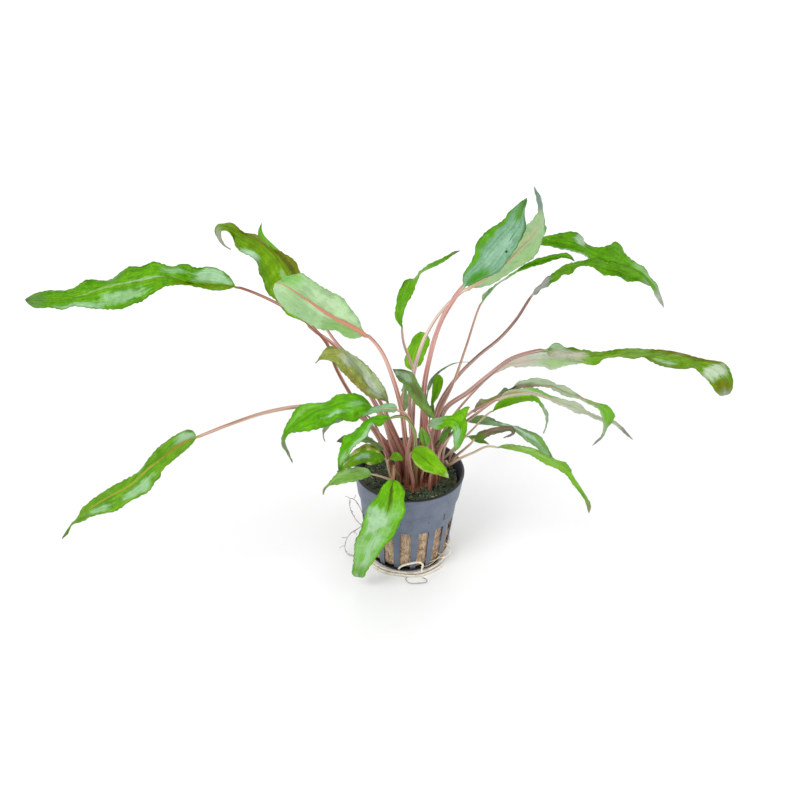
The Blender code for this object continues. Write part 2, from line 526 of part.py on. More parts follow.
def make_root(name, points, diameter, group):
    """A root as a thin closed tube along a smooth line."""
    line, _ = smooth_line(points, ROOT_STEPS)
    curve = bpy.data.curves.new(name, "CURVE")
    curve.dimensions = "3D"
    curve.bevel_depth = 0.5 * diameter * MM
    curve.bevel_resolution = 1
    curve.use_fill_caps = True
    spline = curve.splines.new("POLY")
    spline.points.add(len(line) - 1)
    for point, where in zip(spline.points, line):
        point.co = (*(where * MM), 1.0)
    made = bpy.data.objects.new(name, curve)
    made.data.materials.append(material("root"))
    group.objects.link(made)
    return made


def make_plant():
    clear_scene()
    group = new_collection("potted_cryptocoryne")
    cutters = new_collection("cutters")
    make_pot(group, cutters)
    make_plug(group, cutters)
    make_crown(group)
    for name, leaf in LEAVES.items():
        make_leaf(name, leaf, group)
    for name, (points, diameter) in ROOTS.items():
        make_root(name, points, diameter, group)


make_plant()
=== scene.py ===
"""Looks of the potted cryptocoryne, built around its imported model.

World frame: metres, +Z up, origin at the middle of the pot's base, front towards -Y. Sizes are written in
millimetres and turned into metres by MM. A leaf's points are "view" points: millimetres to the right of and
above the rim's centre as the viewer in front sees them, and millimetres behind it. Moving a point back or
forth leaves it on the same line of sight.
"""
from collections import namedtuple
from math import cos, pi, radians, sin

import bpy
import numpy as np
from mathutils import Matrix, Vector


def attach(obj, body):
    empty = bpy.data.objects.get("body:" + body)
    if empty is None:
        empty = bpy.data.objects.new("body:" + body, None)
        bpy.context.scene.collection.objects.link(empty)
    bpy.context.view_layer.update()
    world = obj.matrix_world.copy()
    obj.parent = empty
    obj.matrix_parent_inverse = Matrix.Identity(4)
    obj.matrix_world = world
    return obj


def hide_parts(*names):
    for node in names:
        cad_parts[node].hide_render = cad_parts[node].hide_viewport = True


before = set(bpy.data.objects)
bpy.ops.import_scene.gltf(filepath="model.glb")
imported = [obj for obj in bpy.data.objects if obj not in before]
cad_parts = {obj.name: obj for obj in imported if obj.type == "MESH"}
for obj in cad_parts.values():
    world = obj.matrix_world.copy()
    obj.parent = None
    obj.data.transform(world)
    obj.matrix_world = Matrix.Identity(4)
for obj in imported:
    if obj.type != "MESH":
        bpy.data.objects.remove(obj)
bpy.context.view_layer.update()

MM = 0.001

# Camera, as the photo was taken. The image is 800 x 800 pixels.
IMAGE_SIZE = 800.0
LENS = 110.0
SENSOR = 36.0
CAMERA_TILT = radians(2.4)
CAMERA_PITCH = radians(35.7)
CAMERA_DISTANCE = 1220.0
NEAREST_SEEN = 0.01             # metres
RIM_IN_IMAGE = (409.5, 468.6)   # pixel where the middle of the pot's rim is seen

# Studio, in metres. Each lamp has its place, its size across and its power in watts.
LAMPS = {"key": ((-0.6, -0.8, 1.3), 0.6, 9.0), "fill": ((1.1, -0.5, 0.9), 0.9, 3.0),
         "back": ((0.2, 1.2, 0.9), 0.9, 3.5)}
LAMP_AIM = Vector((0.0, 0.0, 0.08))
SURROUND = 0.78                 # brightness of the white surround
FLOOR_HALF = 12.0
FLOOR_DROP = 0.0002             # keeps the floor just below the pot's base
FLOOR_TONES = ((0.93, 0.93, 0.93, 1.0), (0.96, 0.96, 0.96, 1.0))
FLOOR_GLOW = 0.45               # light the floor gives off far out, so that it stays white to the horizon
GLOW_REACH = (350.0, 1100.0)    # how far from the middle the glow starts and is full, mm

# Pot, plug and crown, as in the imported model
POT_HEIGHT = 50.0
BASE_THICK = 1.0
PLUG_TOP = 44.6                 # height of the plug's top at its edge
PLUG_CROWN = 1.0                # how much higher it is inside the radius PLUG_FLAT
PLUG_FLAT = 14.0
PLUG_EDGE = 24.9                # inside radius of the pot at the plug's top
CROWN_AT = (3.0, -2.0)
CROWN_RADIUS = 10.0
CROWN_RISE = 1.4

# Stalks
FOOT_GAP = 0.6                  # a stalk's first point stands this far above the crown or plug
FOOT_RISE = 4.0                 # and goes straight up for this far
FOOT_DEPTH = 2.2                # its skin starts this far below that point
STALK_STEP = 2.5                # distance between cross-sections
FEWEST_SECTIONS = 8
NECK_SHARE = 0.62               # thickness at the neck, as a share of that at the foot
ROOTED_SHARE = 0.6              # and where the skin starts
SHEATH_LENGTH = 15.0            # height over which a stalk swells into its sheath
SHEATH_FLARE = 0.5              # how much it swells for each mm that it is thicker than SHEATH_LEAST
SHEATH_LEAST = 1.5
RIB_LEAST = 0.16                # radius of the midrib where it is thinnest
RIB_SUNK = 0.85                 # how far its middle lies below the blade, as a share of its radius
RIB_PROUD = 0.1                 # less this much, so that it shows above the blade too
TIP_RADIUS = 0.05               # and at its end
TUBE_SIDES = 18
RIDGE = 0.07                    # height of a tube's ribs, as a share of its radius
TOWARDS_VIEWER = (0.0, -0.81, 0.58)

# Blades
CURVE_STEPS = 12                # points of a smooth curve for each of its given points
BLADE_STEP = 1.2                # distance between rows of points
FEWEST_ROWS = 16                # rows along a traced blade, and along a small one
FEWEST_SMALL_ROWS = 14
HALF_COUNT = 9                  # strips between the midrib and a margin
BLADE_THICK = 0.22              # half thickness beside the midrib
MARGIN_THICK = 0.07
RUFFLE_LAG = 2.2                # how far one margin's waves lag behind the other's, radians
FULL_WAVE_HALF = 3.0            # half width from which the waves have their full height
MARGIN_BITE = 0.22              # depth of the small irregular bites of a margin
FOLD = 0.16                     # how far a blade folds up beside its midrib, as a share of its half width
SMALL_FOLD = 0.18               # and a small leaf's blade
FOLD_CURVE = 1.4                # power by which the fold steepens towards the margin
QUILT_LENGTH = 7.0              # length of the soft bulges between the veins
QUILT_ABOVE = 0.06              # their height, as a share of the half width
QUILT_BELOW = 0.02              # and where the underside faces the viewer
RUMPLE = 0.32                   # depth of the dents in a blade
DENT_SIZES = (8.0, 3.6)         # across the broad dents and the small ones

Leaf = namedtuple("Leaf", "foot stalk blade width thick ruffle waves widest full tail faces",
                  defaults=(0.8, 3.5, 0.4, 1.6, 0.0, (0, 0)))

# foot: the stalk's foot on the growing medium, (right, back) in mm
# stalk, blade: view points along the midrib; the blade's first point is its neck, the last its tip
# width: across the blade at its widest, mm
# thick: diameter of the stalk at its foot, mm
# ruffle, waves: height in mm and number of the waves of the margin
# widest: where the blade is widest, 0 at the neck and 1 at the tip; full: how full it stays beyond that
# tail: share of the blade that is only a thin thread at its end
# faces: for the small leaves without EDGES, degrees that the upper side is tipped towards the viewer,
# evenly spaced from neck to tip
LEAVES = {
    "leaf_far_left": Leaf(
        (-5, 1), ((-11, 12, 3), (-22, 25, 8), (-30, 38, 11), (-37, 51, 13), (-41, 62, 15), (-50, 72, 18),
         (-67, 83, 21)),
        ((-87, 90, 25), (-105, 95, 28), (-128, 93, 31), (-146, 89, 34), (-170, 85, 39), (-192, 84, 43)),
        20, 2.1, 1.5, 4.5, 0.45, 3.0),
    "leaf_upper_left": Leaf(
        (-3, 4), ((-7, 13, 8), (-18, 34, 19), (-30, 53, 29), (-38, 62, 34)),
        ((-47, 73, 41), (-60, 89, 50), (-73, 104, 57), (-84, 115, 61), (-91, 121, 61), (-97, 118, 58),
         (-95, 113, 55), (-89, 109, 53)),
        21, 2.6, 1.6, 4.5, 0.3, 1.5),
    "leaf_left_spike": Leaf(
        (-1, 7), ((-5, 13, 12), (-15, 34, 25), (-28, 54, 40), (-35, 61, 46), (-41, 69, 51)),
        ((-47, 80, 60), (-60, 97, 68), (-70.5, 109, 73), (-74.2, 115, 75), (-74.9, 119, 75.6),
         (-73.9, 123, 76)),
        9, 2.0, 0.4, 3.0, 0.6, 1.5, faces=(10, 10)),
    "leaf_left_underside": Leaf(
        (1, -5), ((-2, 14, -8), (-4, 29, -11), (-8, 44, -15), (-15, 60, -20)),
        ((-22, 67, -23), (-38, 76, -28), (-54, 86, -33), (-64, 92, -35), (-68, 92, -26), (-64, 85, -18)),
        22, 2.6, 1.0, 4.0, 0.5, 3.0),
    "leaf_left_mottled": Leaf(
        (-2, -1), ((-7, 14, -3), (-12, 27, -6)),
        ((-16, 34, -8), (-23, 48, -12), (-31, 57, -15), (-37, 60, -17), (-43, 57, -19), (-47, 53, -20)),
        15, 2.4, 1.0),
    "leaf_left_wide": Leaf(
        (-5, -3), ((-9, 12, -6), (-14, 26, -9)),
        ((-19, 31, -12), (-28, 32, -18), (-37, 31, -23), (-46, 27, -28), (-54, 24, -33), (-61, 18, -37),
         (-62, 13, -38), (-60, 8, -38), (-58, 3, -38)),
        17, 2.4, 1.4, 3.5, 0.5, 3.5, 0.27),
    "leaf_left_pale": Leaf(
        (-1, -8), ((-1, 8, -12), (1, 20, -16), (-1, 26, -19)),
        ((-6, 29, -20), (-12, 30, -21), (-18, 28, -22), (-24, 25, -23)),
        8, 2.2, 0.5),
    "leaf_left_hook": Leaf(
        (-9, -4), ((-13, 12, -5), (-18, 23, -8)),
        ((-22, 27, -9), (-33, 26, -12), (-41, 21, -14), (-43, 17, -14), (-42, 13, -14)),
        6, 1.4, 0.4, faces=(0, 0)),
    "leaf_left_down": Leaf(
        (3, -9), ((3, 8, -14), (2, 20, -20), (-3, 26, -23)),
        ((-8, 27, -25), (-14, 26, -27), (-20, 23, -29), (-27, 16, -32), (-33, 8, -34), (-36, 0, -35)),
        11, 2.2, 0.8, 3.0, 0.55, 1.8),
    "leaf_left_edge": Leaf(
        (-9, -7), ((-10.5, 1, -8.5), (-12.4, 8.6, -9)),
        ((-15.9, 13, -9.5), (-20, 14.8, -10.5), (-25, 16, -12.5), (-33.3, 15.8, -16), (-36, 13.5, -17)),
        5, 1.4, 0.4),
    "leaf_left_scorched": Leaf(
        (-9, -10), ((-10, -2, -12), (-11, 3, -15)),
        ((-12, 5, -16), (-20, 7, -20), (-27, 5, -23), (-35, 0, -25)),
        13, 1.6, 1.0, 3.5, 0.45, 2.0),
    "leaf_left_low": Leaf(
        (-6, -13), ((-11, -5, -18),),
        ((-19, -3, -23), (-27, -3, -26), (-36, -6, -29), (-41, -9, -30), (-44, -12, -30)),
        9, 1.5, 0.4, 3.0, 0.35, 1.6),
    "leaf_left_tiny": Leaf(
        (-8, -12), ((-10, -2, -15), (-11, 3, -18)),
        ((-10, 5, -20), (-7, 6, -21), (-3, 4, -22)),
        5, 1.2, 0.2, faces=(40, 40)),
    "leaf_far_left_low": Leaf(
        (-9, -1.5), ((-12, 9, 0), (-22, 24, 4), (-37, 31, 3), (-55, 31, -6), (-72, 28, -18),
         (-90, 22, -31)),
        ((-107, 16, -43), (-124, 4, -55), (-140, -9, -66), (-156, -19, -77), (-174, -35, -89)),
        16, 2.4, 1.2, 4.5, 0.42, 2.0),
    "leaf_front_drooping": Leaf(
        (-5, -9), ((-7, -1, -15), (-8, 1, -21)),
        ((-8, -5, -26), (-10, -14, -30), (-12, -21, -33), (-16, -33, -36), (-21, -45, -38), (-25, -53, -37),
         (-24, -51, -32)),
        21, 2.2, 1.0, 3.5, 0.4, 5.0),
    "leaf_front_oval": Leaf(
        (2, -13), ((0, 2, -17), (0, 7, -20)),
        ((1, 9, -22), (6, 6, -24), (12, 1, -27), (19, -5, -29)),
        13, 1.8, 0.4, 2.0),
    "leaf_centre_olive": Leaf(
        (6, -5), ((8, 8, -8), (11, 18, -10)),
        ((12, 23, -11), (7, 32, -10), (1, 41, -8), (-9, 50, -4)),
        12, 2.0, 0.6, 3.0, 0.55, 2.2),
    "leaf_centre_pale": Leaf(
        (0, 2), ((-1, 12, 2), (-3, 22, 2)),
        ((-3, 28, 2), (-3, 36, 2), (-2, 46, 2)),
        7, 1.6, 0.3, faces=(-30, -30)),
    "leaf_centre_young": Leaf(
        (6, -9), ((8, 3, -13), (8, 8, -15)),
        ((8, 11, -17), (7, 16, -18), (6, 21, -19)),
        6, 1.4, 0.2, faces=(10, 10)),
    "leaf_back_oval": Leaf(
        (2, 8), ((1, 14, 15), (0, 30, 25), (0, 42, 33)),
        ((1, 49, 38), (3, 55, 42), (4, 61, 45), (5, 68, 48)),
        13, 1.8, 0.5, 3.0, 0.5, 2.6),
    "leaf_back_narrow": Leaf(
        (0, 5), ((1, 14, 8), (2, 30, 15), (2, 48, 24), (-3, 63, 33)),
        ((-4, 71, 38), (-6, 82, 45), (-2, 93, 51), (4, 96, 54), (12, 102, 57), (25, 109, 60)),
        9, 2.0, 0.8, 2.0, 0.35, 2.0),
    "leaf_centre_spoon": Leaf(
        (9, 0), ((10, 12, 2), (12, 25, 4)),
        ((11, 31, 5), (13, 37, 6), (15, 47, 7)),
        5, 1.6, 0.2, 2.0, 0.78, 4.0, faces=(0, 10, 20)),
    "leaf_centre_bud": Leaf(
        (8, -3), ((10, 10, -3), (10, 20, -2)),
        ((10, 25, -2), (11, 29, -1), (12, 33, -1)),
        4, 1.4, 0.1, faces=(20, 20)),
    "leaf_grassy": Leaf(
        (6, 3), ((7, 15, 6), (8, 30, 9)),
        ((9, 38, 11), (12, 45, 12), (19, 51, 11), (25, 53, 10), (32, 53, 9)),
        3.4, 1.2, 0.2, 2.0, 0.2, 0.8, 0.25, faces=(10, 10)),
    "leaf_right_hanging": Leaf(
        (10.5, -11), ((12, 4, -12), (11, 15, -16)),
        ((10, 21, -20), (17, 25, -24), (24, 24, -27), (28, 19, -29), (27, 13, -30), (22, 7, -31)),
        11, 1.8, 0.6, 2.5, 0.5, 1.8),
    "leaf_right_dark": Leaf(
        (13.5, -8.5), ((14, 5, -13), (16, 10, -16)),
        ((17, 13, -17), (19, 18, -18), (20, 22, -19)),
        9.5, 1.4, 0.3, faces=(30, 30)),
    "leaf_right_brown": Leaf(
        (11, -3), ((11, 5, -5), (12, 8, -6)),
        ((12, 10, -6), (14, 12, -6), (16, 16, -6)),
        4, 1.2, 0.2, faces=(30, 30)),
    "leaf_top_blue": Leaf(
        (4, 0), ((8, 14, 2), (7, 38, 5), (10, 55, 8), (16, 74, 11)),
        ((26, 91, 14), (37, 103, 17), (46, 114, 20), (54, 125, 23), (59, 135, 26)),
        21, 3.0, 1.2, 3.0, 0.38, 1.5),
    "leaf_top_underside": Leaf(
        (3, 3), ((2, 14, 6), (0, 32, 11), (2, 47, 15), (8, 66, 20), (18, 81, 24)),
        ((30, 90, 27), (45, 98, 31), (55, 107, 33), (62, 117, 35), (66, 128, 36), (64, 134, 36),
         (63, 141, 36)),
        20, 2.4, 1.0, 3.5, 0.4, 1.5),
    "leaf_right_thin": Leaf(
        (9, 4), ((11, 16, 6), (15, 28, 9), (22, 43, 12), (28, 60, 20), (35, 81, 30)),
        ((36, 85, 33), (44, 94, 41), (53, 100, 47), (63, 103, 51), (72, 106, 53), (79, 107, 54),
         (83, 103, 53)),
        6, 1.8, 0.4, 3.0, 0.5, 2.0),
    "leaf_right_bright": Leaf(
        (5, 8), ((6, 18, 15), (7.3, 38.8, 27), (9.8, 55.3, 35.5), (13, 67, 40.5), (17.2, 77.3, 45.5),
         (26.8, 91.3, 52.5), (45, 105, 60)),
        ((62, 113, 66), (76, 114, 70), (85, 111, 72), (91, 107, 74), (100, 106, 76), (110, 102, 78),
         (118, 97, 80), (123, 90, 80), (127, 81, 80)),
        15, 2.4, 2.0, 3.5, 0.5, 2.0),
    "leaf_right_arching": Leaf(
        (10, 8), ((12, 17, 11), (14, 30, 15), (24, 46, 21), (34, 56, 27), (45, 65, 32), (53, 74, 35)),
        ((61, 86, 38), (66, 92, 40), (72, 97, 42), (78, 100, 44), (88, 101, 47), (98, 99, 50),
         (109, 96, 54), (120, 92, 58)),
        10, 2.2, 1.0, 4.0, 0.55, 2.2),
    "leaf_right_long": Leaf(
        (12, 0), ((14, 16, 0), (18, 30, -2), (29, 38, -5), (40, 47, -8), (51, 55, -11), (60, 58, -13)),
        ((69, 59, -15), (80, 58, -17), (95, 56, -20), (110, 57, -23), (125, 57, -26), (140, 54, -29),
         (151, 50, -32), (157, 44, -37), (158, 37, -41)),
        16, 2.8, 1.3, 5.0, 0.5, 4.0),
    "leaf_right_pale": Leaf(
        (13, 4), ((16, 16, 5), (21, 25, 4), (29, 35, 2)),
        ((38, 44, -1), (50, 51, -4), (65, 54, -8), (80, 55, -12), (96, 52, -16)),
        10, 1.6, 0.6),
    "leaf_right_hooked": Leaf(
        (14.5, -2.5), ((16, 14, -6), (24, 23, -13), (31, 28.2, -18.6)),
        ((34, 30, -21), (44, 35, -28), (50, 39, -32), (60, 42, -38), (69, 42, -43), (79, 39, -48),
         (88, 35, -52), (96, 31, -56), (99, 25, -58), (97, 18, -58), (91, 11, -58)),
        11, 2.0, 0.8, 4.0, 0.5, 3.0, 0.14),
    "leaf_right_purple": Leaf(
        (12.5, -5.5), ((16, 11, -10), (24, 20, -18), (33, 27, -26)),
        ((45, 35, -33), (60, 38, -39), (70, 35, -42), (82, 31, -45), (95, 25, -47), (103, 22, -48),
         (112, 14, -49)),
        10, 2.0, 0.9, 5.0, 0.4, 2.0, 0.2),
    "leaf_right_yellow": Leaf(
        (15, 8), ((17, 5, 3), (23, 11, -5), (31, 19, -14), (40, 28, -22)),
        ((45, 31, -24), (54, 34, -27), (64, 34, -30), (69, 30, -32), (69, 24, -33), (67, 18, -33)),
        8, 1.4, 0.5, 4.0, 0.35),
    "leaf_right_grey": Leaf(
        (16, 0), ((18, 12, -4), (24, 21, -8)),
        ((30, 25, -11), (40, 24, -15), (50, 21, -19), (57, 19, -22), (66, 13, -25), (72, 5, -27)),
        8, 1.6, 0.6, 3.5, 0.5, 2.0),
    "leaf_right_curled": Leaf(
        (16, 11), ((17, 2, 8), (24, 7, -1), (31, 13, -11)),
        ((35, 16, -17), (42, 18, -23), (49, 20, -27), (52, 19, -28), (50, 16, -28), (47, 15, -27)),
        7, 1.6, 0.4),
    "leaf_right_low": Leaf(
        (18, 8), ((19, 2, 3), (25, 5, -6), (32, 8, -15), (39, 11, -22)),
        ((45, 11, -27), (58, 9, -35), (68, 5, -41), (78, 0, -47), (84, -9, -51), (90, -21, -54)),
        9, 1.6, 0.6, 4.0, 0.45, 2.0),
    "leaf_right_tiny": Leaf(
        (20, 10.5), ((22, 9, 6), (26, 14, 2)),
        ((29, 16, -2), (35, 14, -6), (40, 12, -9)),
        4, 1.2, 0.1, faces=(10, 10)),
}

# Roots: points in mm in the world frame, then the diameter
ROOTS = {
    "root_base_inner": (((-17.2, -12.6, 1.2), (-12.3, -18, 1.0), (-4, -21, 0.9), (5, -21.3, 0.9),
        (12, -18, 1.0), (17, -12.5, 1.4), (19.8, -8, 2.6)), 1.2),
    "root_base_outer": (((-18.2, -14.4, 0.8), (-10.8, -20.9, 0.7), (-2, -23.1, 0.7), (7, -23.1, 0.7),
        (14, -18.6, 0.7), (18.9, -13, 0.8)), 1.0),
    "root_front_loop": (((-3.4, -21.6, 3.2), (-2.2, -22.4, 5.6), (2.2, -23.2, 8.2), (6.8, -22.6, 8.6),
        (8.6, -22.4, 7.4), (8.2, -22.6, 4.6), (8.4, -22.3, 2.8)), 1.0),
    "root_floor_thread": (((8.4, -24.3, 0.6), (10.9, -25.8, 0.5), (10.7, -27.7, 0.5), (7.5, -28.7, 0.5),
        (2.2, -28.9, 0.5), (0.4, -26, 0.5), (1.2, -24.3, 0.6)), 0.5),
    "root_left_upper": (((-20.6, -8.1, 17.5), (-24.6, -7, 20.5), (-28.1, -5, 25), (-29.2, -5, 29.5),
        (-28.8, -6, 34.5), (-26.6, -8, 35), (-23.4, -11, 31.5), (-21.8, -12, 27)), 0.5),
    "root_left_lower": (((-21.4, 0.4, 14), (-25.3, -3, 13), (-28.7, -5, 11.4), (-31, -8, 6.5),
        (-30.3, -9, 3), (-28.7, -9.5, 1.5), (-25.7, -9, 0.8), (-22, -8.4, 0.7)), 0.5),
    "root_right": (((19.4, -8.2, 11), (21.6, -9.6, 9), (22, -11, 6.4), (20.4, -12.6, 5.4),
        (17.8, -14.4, 6)), 0.6),
}

